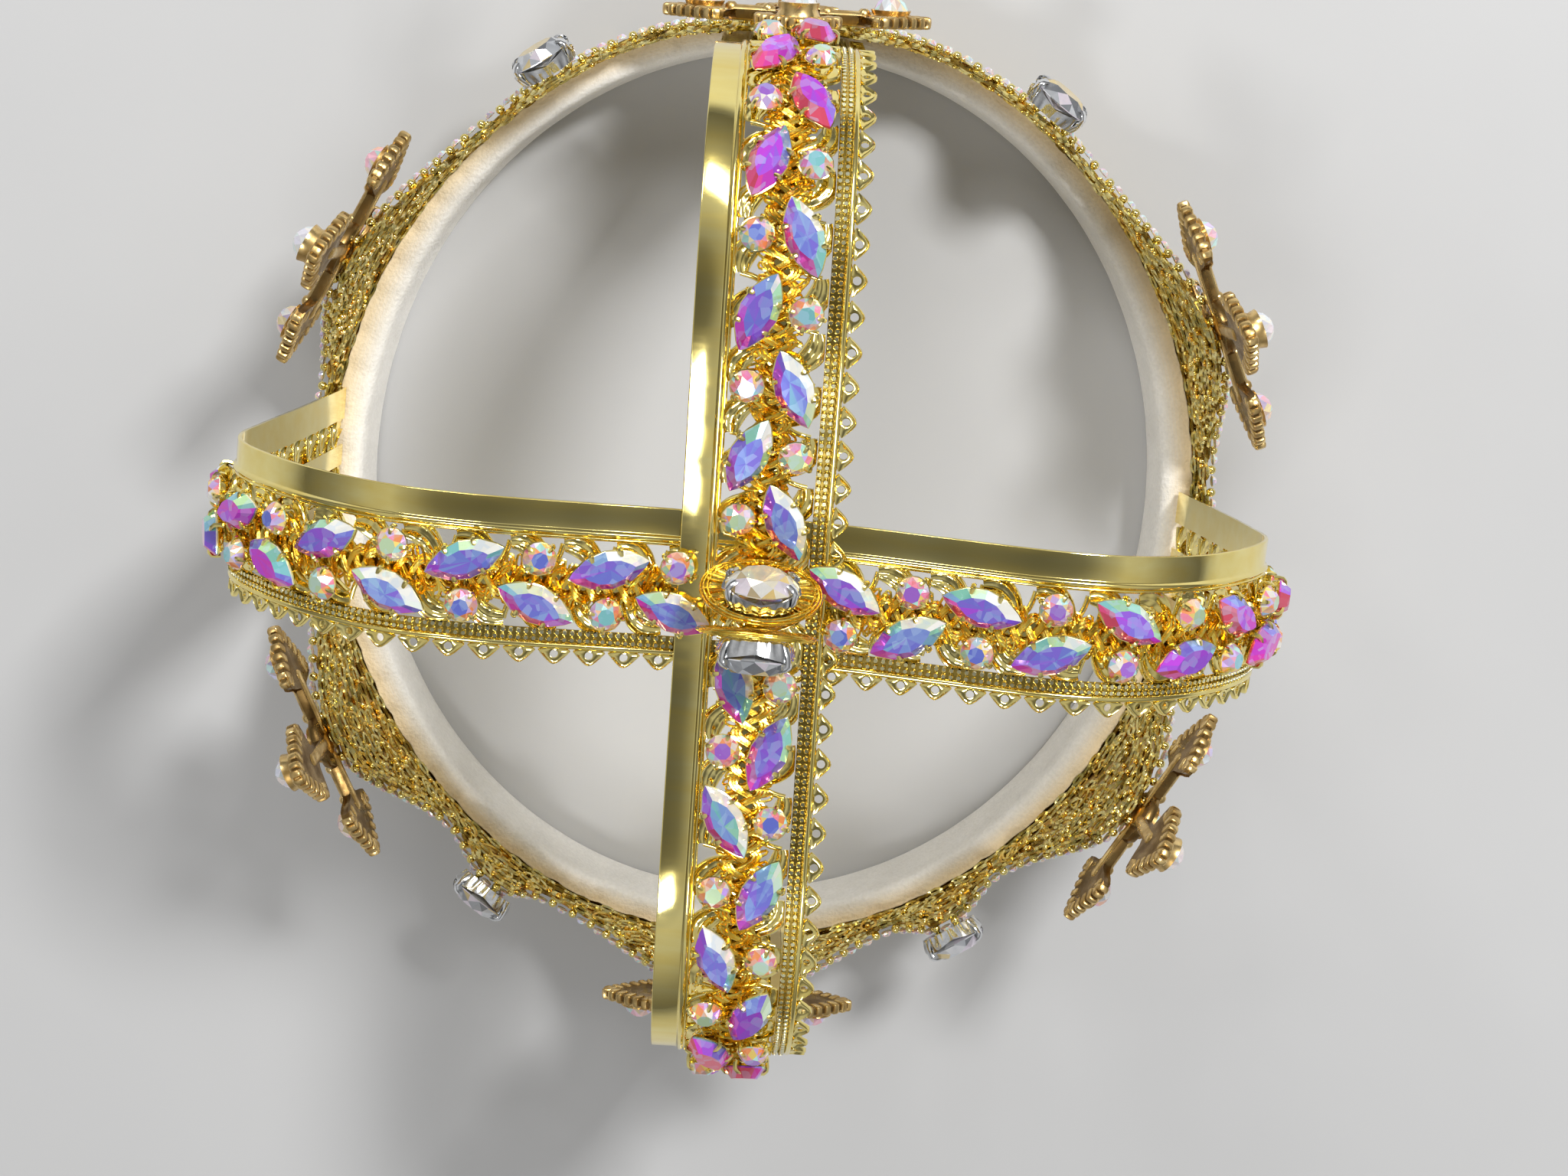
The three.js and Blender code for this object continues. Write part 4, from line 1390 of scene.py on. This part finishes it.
# Half outline of one arm: distance from the middle and half width
ARM_OUTLINE = [
    (4.6, 4.6), (6.0, 1.7), (12.6, 1.6), (13.6, 2.8), (14.3, 6.2), (15.0, 8.3), (16.4, 8.8), (18.6, 7.7),
    (20.6, 6.2), (22.6, 4.7), (24.6, 3.1), (26.2, 1.7), (27.1, 0.6),
]
KITE_START = 14.0


def cross_outline():
    points = []
    for arm in range(4):
        turn = arm * math.pi / 2
        spin = np.array([[math.cos(turn), math.sin(turn)], [-math.sin(turn), math.cos(turn)]])
        rising = np.array([(along, -half) for along, half in ARM_OUTLINE])
        falling = np.array([(along, half) for along, half in ARM_OUTLINE[:0:-1]])
        points.append(np.concatenate([rising, falling]) @ spin)
    return np.concatenate(points)


def along_outline(outline, pitch):
    """Places and ways along a closed outline at an even pitch."""
    closed = np.concatenate([outline, outline[:1]])
    walked = walked_along(closed)
    count = int(walked[-1] / pitch)
    place = np.arange(count) * walked[-1] / count
    spot = np.stack([np.interp(place, walked, closed[:, k]) for k in range(2)], -1)
    way = unit(np.roll(spot, -1, 0) - np.roll(spot, 1, 0))
    return spot, way


# Seats of the stones, with the height of their collars and how far the stones pale toward clear glass
CROSS_SEATS = [
    {"name": "centre", "x": 0.0, "y": 0.0, "collar": 0.9, "pale": 0.35},
    {"name": "left", "x": -CROSS["stone_out"], "y": 0.0, "collar": 0.9, "pale": 0.35},
    {"name": "right", "x": CROSS["stone_out"], "y": 0.0, "collar": 0.9, "pale": 0.35},
    {"name": "top", "x": 0.0, "y": CROSS["stone_out"], "collar": 2.4, "pale": 0.8},
    {"name": "bottom", "x": 0.0, "y": -CROSS["stone_out"], "collar": 0.9, "pale": 0.35},
]
CROSS_STONE = {"radius": 3.5, "girdle": 0.7, "height": 3.0, "table": 0.42}
RIB = {"half": (0.84, 1.7, 1.3), "pitch": 2.35, "inward": 1.55, "up": 0.55}
BACK_BAR = {
    "path": [(2.5, 0, 0.3), (5, 0, 0.15), (13.5, 0, 0.15), (15, 0, 0.3)],
    "width": 1.35, "depth": 0.65,
}
FRONT_BAR = {"from": 4.5, "to": 13.5, "width": 1.3, "depth": 0.9}
ARM_NUB = {"radius": 1.5, "squash": 0.5, "along": 15.2, "up": 0.2}
ARM_BEAD = {"radius": 1.35, "places": (6.0, 13.4), "up": 0.2}
# Drops of glue behind the middle of a cross
GLUE = [
    {"radius": 2.6, "sides": 12, "squash": 0.28, "x": 0.6, "y": 0.4},
    {"radius": 1.9, "sides": 12, "squash": 0.3, "x": -1.6, "y": -1.0},
    {"radius": 1.4, "sides": 10, "squash": 0.35, "x": 1.2, "y": -2.4},
]
GLUE_UP = 0.1
# Casting tints: the sheet is darkened as painted shade in the hollows and on the back; the raised parts are
# rubbed bright by wear and lightened as a painted highlight; the glue is amber
CAST_TINTS = {"sheet": (0.46, 0.4, 0.32), "worn": (1.36, 1.36, 1.34), "glue": (1.3, 0.95, 0.35)}


def kite_ribs(outline):
    """Ribs side by side along the edges of the kite ends."""
    spot, way = along_outline(outline, RIB["pitch"])
    on_kite = np.abs(spot).max(axis=1) > KITE_START
    spot, way = spot[on_kite], way[on_kite]
    inward = np.column_stack([-way[:, 1], way[:, 0]])
    zero = np.zeros(len(spot))
    frames = frames_of(
        np.column_stack([spot + inward * RIB["inward"], zero + CROSS["plate"] * RIB["up"]]),
        np.column_stack([way, zero]),
        np.column_stack([inward, zero]),
        np.tile([0.0, 0.0, 1.0], (len(spot), 1)),
    )
    return [moved(pillow(*RIB["half"]), place) for place in frames]


def stone_collar(seat):
    plate, tall = CROSS["plate"], seat["collar"]
    lip = plate + tall + 0.5
    levels = [(4.6, plate - 0.4), (4.4, plate + 0.2), (3.75, plate + tall * 0.6), (4.1, lip), (3.6, lip)]
    return shifted(stacked(round_outline(20), levels), x=seat["x"], y=seat["y"])


def cross_arm():
    """Bars, nub and beads of the arm that points along X."""
    plate = CROSS["plate"]
    front = [(FRONT_BAR["from"], 0, plate), (FRONT_BAR["to"], 0, plate)]
    nub = ball(ARM_NUB["radius"], 10, 6, ARM_NUB["squash"])
    bead = ball(ARM_BEAD["radius"], 10, 6)
    return [
        rod(BACK_BAR["path"], (0, 0, 1), BACK_BAR["width"], BACK_BAR["depth"], 10),
        rod(front, (0, 0, 1), FRONT_BAR["width"], FRONT_BAR["depth"], 10),
        shifted(nub, x=ARM_NUB["along"], z=ARM_NUB["up"]),
        *(shifted(bead, x=place, z=plate + ARM_BEAD["up"]) for place in ARM_BEAD["places"]),
    ]


def cross_casting():
    """Cast cross as lists of shapes with their tint: the sheet in painted shade, what is worn bright on it
    and lit as a painted highlight, and the glue.
    """
    outline = cross_outline()
    plate = CROSS["plate"]
    sheet = stacked(outline, [(0.95, 0.0), (0.985, 0.4), (0.985, plate - 0.4), (0.95, plate)])
    worn_and_highlit = kite_ribs(outline) + [stone_collar(seat) for seat in CROSS_SEATS]
    for arm in range(4):
        worn_and_highlit += [spun(shape, arm * math.pi / 2) for shape in cross_arm()]
    glue = [
        shifted(ball(drop["radius"], drop["sides"], 6, drop["squash"]), drop["x"], drop["y"], GLUE_UP)
        for drop in GLUE
    ]
    return [
        ([sheet], CAST_TINTS["sheet"]),
        (worn_and_highlit, CAST_TINTS["worn"]),
        (glue, CAST_TINTS["glue"]),
    ]


def crosses():
    casting = cross_casting()
    stone = brilliant(**CROSS_STONE)
    for index, degrees in enumerate(TALL_PEAK["azimuths"], start=1):
        name = f"cross_{index}"
        draw = np.random.default_rng(40 + index)
        place = on_band(degrees, CROSS["height"], CROSS["standoff"])
        metal, stones = Heap(), Heap()
        for shapes, tint in casting:
            for shape in shapes:
                metal.add(moved(shape, place), tint)
        for seat in CROSS_SEATS:
            up = CROSS["plate"] + seat["collar"] - 0.1
            spot = moved(shifted(spun(stone, draw.uniform(0, 0.7)), seat["x"], seat["y"], up), place)
            stones.add_facets(spot, confetti_painter(draw, place[:3, 2], seat["pale"]))
        make_piece(f"{name}_casting", metal, ANTIQUE_GILT, [name], crease=42)
        replaced = [f"{name}_stone_{seat['name']}" for seat in CROSS_SEATS]
        make_piece(f"{name}_stones", stones, RAINBOW_STONE, replaced)


# Clear stones in silver cups


# Tints of what the facets mirror: the room and the cup, or the gold wires round the stone
CLEAR_TINTS = [
    (0.98, 0.98, 1.0), (0.6, 0.62, 0.65), (1.0, 0.8, 0.42),
    (0.85, 0.87, 0.9), (0.3, 0.31, 0.33), (0.95, 0.86, 0.95),
]
GOLD_LIT_TINTS = [
    (1.0, 0.93, 0.74), (1.0, 0.8, 0.42), (1.0, 0.98, 0.92),
    (0.95, 0.7, 0.28), (0.95, 0.86, 0.95), (0.62, 0.5, 0.3),
]


def clear_painter(draw, tints):
    tints = np.array(tints)
    return lambda normals: tints[draw.integers(0, len(tints), len(normals))]


def clear_stone_set(name, number, place, seed, tints=CLEAR_TINTS):
    draw = np.random.default_rng(seed)
    metal, glass = Heap(), Heap()
    for shape in silver_cup():
        metal.add(moved(shape, place))
    glass.add_facets(moved(clear_oval(), place), clear_painter(draw, tints))
    setting, stone = f"{name}_setting_{number}", f"{name}_stone_{number}"
    make_piece(f"{name}_cup_{number}", metal, BRIGHT_SILVER, [setting], crease=40)
    make_piece(f"{name}_glass_{number}", glass, CLEAR_GLASS, [stone])


# Share of a cup's half width at which the heel of a tilted cup meets the lace
CUP_HEEL = 0.72


def base_stones():
    lift = OVAL_STONE["width"] / 2 * CUP_HEEL * math.sin(BASE_STONE["tilt"])
    for index, degrees in enumerate(LOW_PEAK["azimuths"], start=1):
        place = on_band(degrees, BASE_STONE["height"], BASE_STONE["standoff"], BASE_STONE["tilt"])
        place[:3, 3] += place[:3, 2] * lift
        clear_stone_set("base", index, place, 60 + index)


# Finial


def rosette_place(facing, lean):
    """Placing matrix of a rosette: Y is the way its stone faces, and its foot stands on the crossing."""
    foot = FINIAL["radius"] * math.cos(lean) + FINIAL["thickness"] / 2 * math.sin(lean)
    apart = FINIAL["radius"] * math.sin(lean) + (FINIAL["thickness"] / 2 + FINIAL["gap"]) / math.cos(lean)
    cos, sin = math.cos(lean), math.sin(lean)
    place = np.eye(4)
    place[:3, :3] = [[facing, 0, 0], [0, facing * cos, -facing * sin], [0, sin, cos]]
    place[1:3, 3] = [facing * apart - FINIAL["ahead"], CROSSING_TOP + FINIAL["gap"] + foot]
    return place


SPOKE = {
    "count": 46, "core": 3.0, "wire": 0.26, "short": 0.4, "shorter": 1.6,
    "stray": 0.03, "lean": 0.07, "off": 0.3, "ripple": 0.08,
}
# Wires coiled round a rosette: radius and distance off its middle plane
COILS = [(10.85, 0.0), (10.3, 0.3), (10.3, -0.3), (9.6, 0.35), (9.6, -0.35), (4.5, 0.4), (4.5, -0.4)]
COIL_WIRE = 0.25


def wire_rosette(seed):
    """Looped wires that radiate round a core, with coiled wires along the rim; Y is its axis."""
    draw = np.random.default_rng(seed)
    shapes = []
    for layer in (-1, 1):
        for k in range(SPOKE["count"]):
            angle = (k + 0.5 * (layer > 0)) * TURN / SPOKE["count"] + draw.normal(0, SPOKE["stray"])
            reach = FINIAL["radius"] - SPOKE["short"] - draw.uniform(0, SPOKE["shorter"])
            lean = draw.normal(0, SPOKE["lean"])
            back = np.array([
                (reach - 0.15, 0.2), (reach - 0.6, 0.4), (reach * 0.6, 0.46), (SPOKE["core"], 0.36),
            ])
            flat = np.concatenate([back[::-1] * [1, -1], back])
            turned = angle + lean * flat[:, 0] / reach
            path = np.column_stack([
                flat[:, 0] * np.cos(turned) - flat[:, 1] * math.sin(angle),
                layer * (SPOKE["off"] + SPOKE["ripple"] * np.cos(flat[:, 0])),
                flat[:, 0] * np.sin(turned) + flat[:, 1] * math.cos(angle),
            ])
            shapes.append(rod(path, (0, 1, 0), SPOKE["wire"], None, 5))
    circle = round_outline(72)
    for radius, off in COILS:
        path = flat_ring(circle, radius, off)[:, [0, 2, 1]]
        shapes.append(rod(path, (0, 1, 0), COIL_WIRE, None, 6, closed=True))
    return shapes


STONE_TINTS = {"back": GOLD_LIT_TINTS, "front": CLEAR_TINTS}


def finial():
    """Two wire rosettes that lean together, each with a clear stone on its outer face."""
    for seed, plan in enumerate(ROSETTES, start=9):
        place = rosette_place(plan["facing"], plan["lean"])
        draw = np.random.default_rng(seed)
        heap = Heap()
        for shape in wire_rosette(seed):
            heap.add(moved(shape, place), drawn(draw, THREAD_TINTS))
        name = plan["name"]
        disc = f"finial_disc_{name}"
        make_piece(f"finial_rosette_{name}", heap, THREAD_GILT, [disc], crease=60)
        seat = np.eye(4)
        seat[:3, :3] = [[1, 0, 0], [0, 0, 1], [0, -1, 0]]
        seat[1:3, 3] = [FINIAL["thickness"] / 2 + FINIAL["gap"], FINIAL["rise"]]
        clear_stone_set("finial", name, place @ seat, 70 + seed, STONE_TINTS[name])


# Build the crown

felt_lining()
lace_net()
LOWER_ROWS, UPPER_ROWS = lace_rows()
lace_chains("lace_chains_lower", LOWER_ROWS, seed=31)
lace_chains("lace_chains_peaks", UPPER_ROWS, seed=32)
lace_loops()
FELT_ROW = level_row(FELT_TOP + BY_FELT["above"])
lace_chains("lace_chain_by_felt", [FELT_ROW], seed=33, inward=BY_FELT["inward"])
lace_beads(LOWER_ROWS, UPPER_ROWS)
gallery_strip("gallery_side", SIDE_ARCH, "arch_side")
gallery_strip("gallery_front", FRONT_ARCH, "arch_front")
stone_trim("trim_right", SIDE_ARCH, 1, SIDE_TRIM, seed=72)
stone_trim("trim_left", SIDE_ARCH, -1, SIDE_TRIM, seed=63)
stone_trim("trim_back", FRONT_ARCH, 1, FRONT_TRIM, seed=81)
stone_trim("trim_front", FRONT_ARCH, -1, FRONT_TRIM, seed=86)
crosses()
base_stones()
finial()


# Stage


FLOOR_HALF = 6.0


def floor():
    side = FLOOR_HALF
    corners = [(-side, -side, 0), (side, -side, 0), (side, side, 0), (-side, side, 0)]
    mesh = bpy.data.meshes.new("floor")
    mesh.from_pydata(corners, [], [(0, 1, 2, 3)])
    plane = bpy.data.objects.new("floor", mesh)
    bpy.context.scene.collection.objects.link(plane)
    mesh.materials.append(pale_floor())


LAMPS = [
    {"name": "key", "place": (0.45, 0.75, 1.1), "size": (0.24, 0.24), "power": 17.0},
    {"name": "back", "place": (-0.35, 0.9, 0.8), "size": (0.5, 0.2), "power": 4.0},
    {"name": "front", "place": (-0.15, -0.55, 1.2), "size": (0.3, 0.2), "power": 4.0},
]
LAMP_TARGET = (0.0, 0.0, 0.08)


def soft_light(name, place, size, power):
    light = bpy.data.lights.new(name, "AREA")
    light.shape = "RECTANGLE"
    light.size, light.size_y = size
    light.energy = power
    lamp = bpy.data.objects.new(name, light)
    bpy.context.scene.collection.objects.link(lamp)
    lamp.location = place
    way = np.array(LAMP_TARGET) - np.array(place)
    lamp.rotation_euler = Vector(way).to_track_quat("-Z", "Y").to_euler()


# Brightness of the soft dome by height above the horizon: dim straight up, bright round the sides
DOME = [(0.0, 0.25), (0.25, 0.45), (0.55, 0.9), (0.75, 1.0), (0.9, 0.6), (0.96, 0.3), (1.0, 0.22)]
DOME_STRENGTH = 0.5


def studio():
    world = bpy.data.worlds.new("studio")
    bpy.context.scene.world = world
    bpy.context.scene.view_settings.view_transform = "Standard"
    world.use_nodes = True
    nodes, links = world.node_tree.nodes, world.node_tree.links
    way = nodes.new("ShaderNodeTexCoord")
    split = nodes.new("ShaderNodeSeparateXYZ")
    links.new(way.outputs["Generated"], split.inputs["Vector"])
    ramp = nodes.new("ShaderNodeValToRGB")
    while len(ramp.color_ramp.elements) < len(DOME):
        ramp.color_ramp.elements.new(0.5)
    for element, (height, bright) in zip(ramp.color_ramp.elements, DOME):
        element.position = height
        element.color = (bright, bright, bright, 1.0)
    links.new(split.outputs["Z"], ramp.inputs["Fac"])
    links.new(ramp.outputs["Color"], nodes["Background"].inputs["Color"])
    set_inputs(nodes["Background"], Strength=DOME_STRENGTH)
    for lamp in LAMPS:
        soft_light(**lamp)


# The camera fitted to the photo: place from the middle of the band in metres, and turns in degrees
CAMERA = {"sensor": 36.0, "lens": 61.75, "place": (-0.0077, 0.1006, 0.611), "turns": (-11.63, -0.26, 5.72)}
CAMERA_CLIP = 0.01


def camera():
    eye = bpy.data.cameras.new("camera")
    eye.sensor_width = CAMERA["sensor"]
    eye.lens = CAMERA["lens"]
    eye.clip_start = CAMERA_CLIP
    stand = bpy.data.objects.new("camera", eye)
    bpy.context.scene.collection.objects.link(stand)
    stand.location = np.array(CAMERA["place"]) + BAND_MIDDLE
    stand.rotation_euler = [math.radians(turn) for turn in CAMERA["turns"]]
    bpy.context.scene.camera = stand


floor()
studio()
camera()
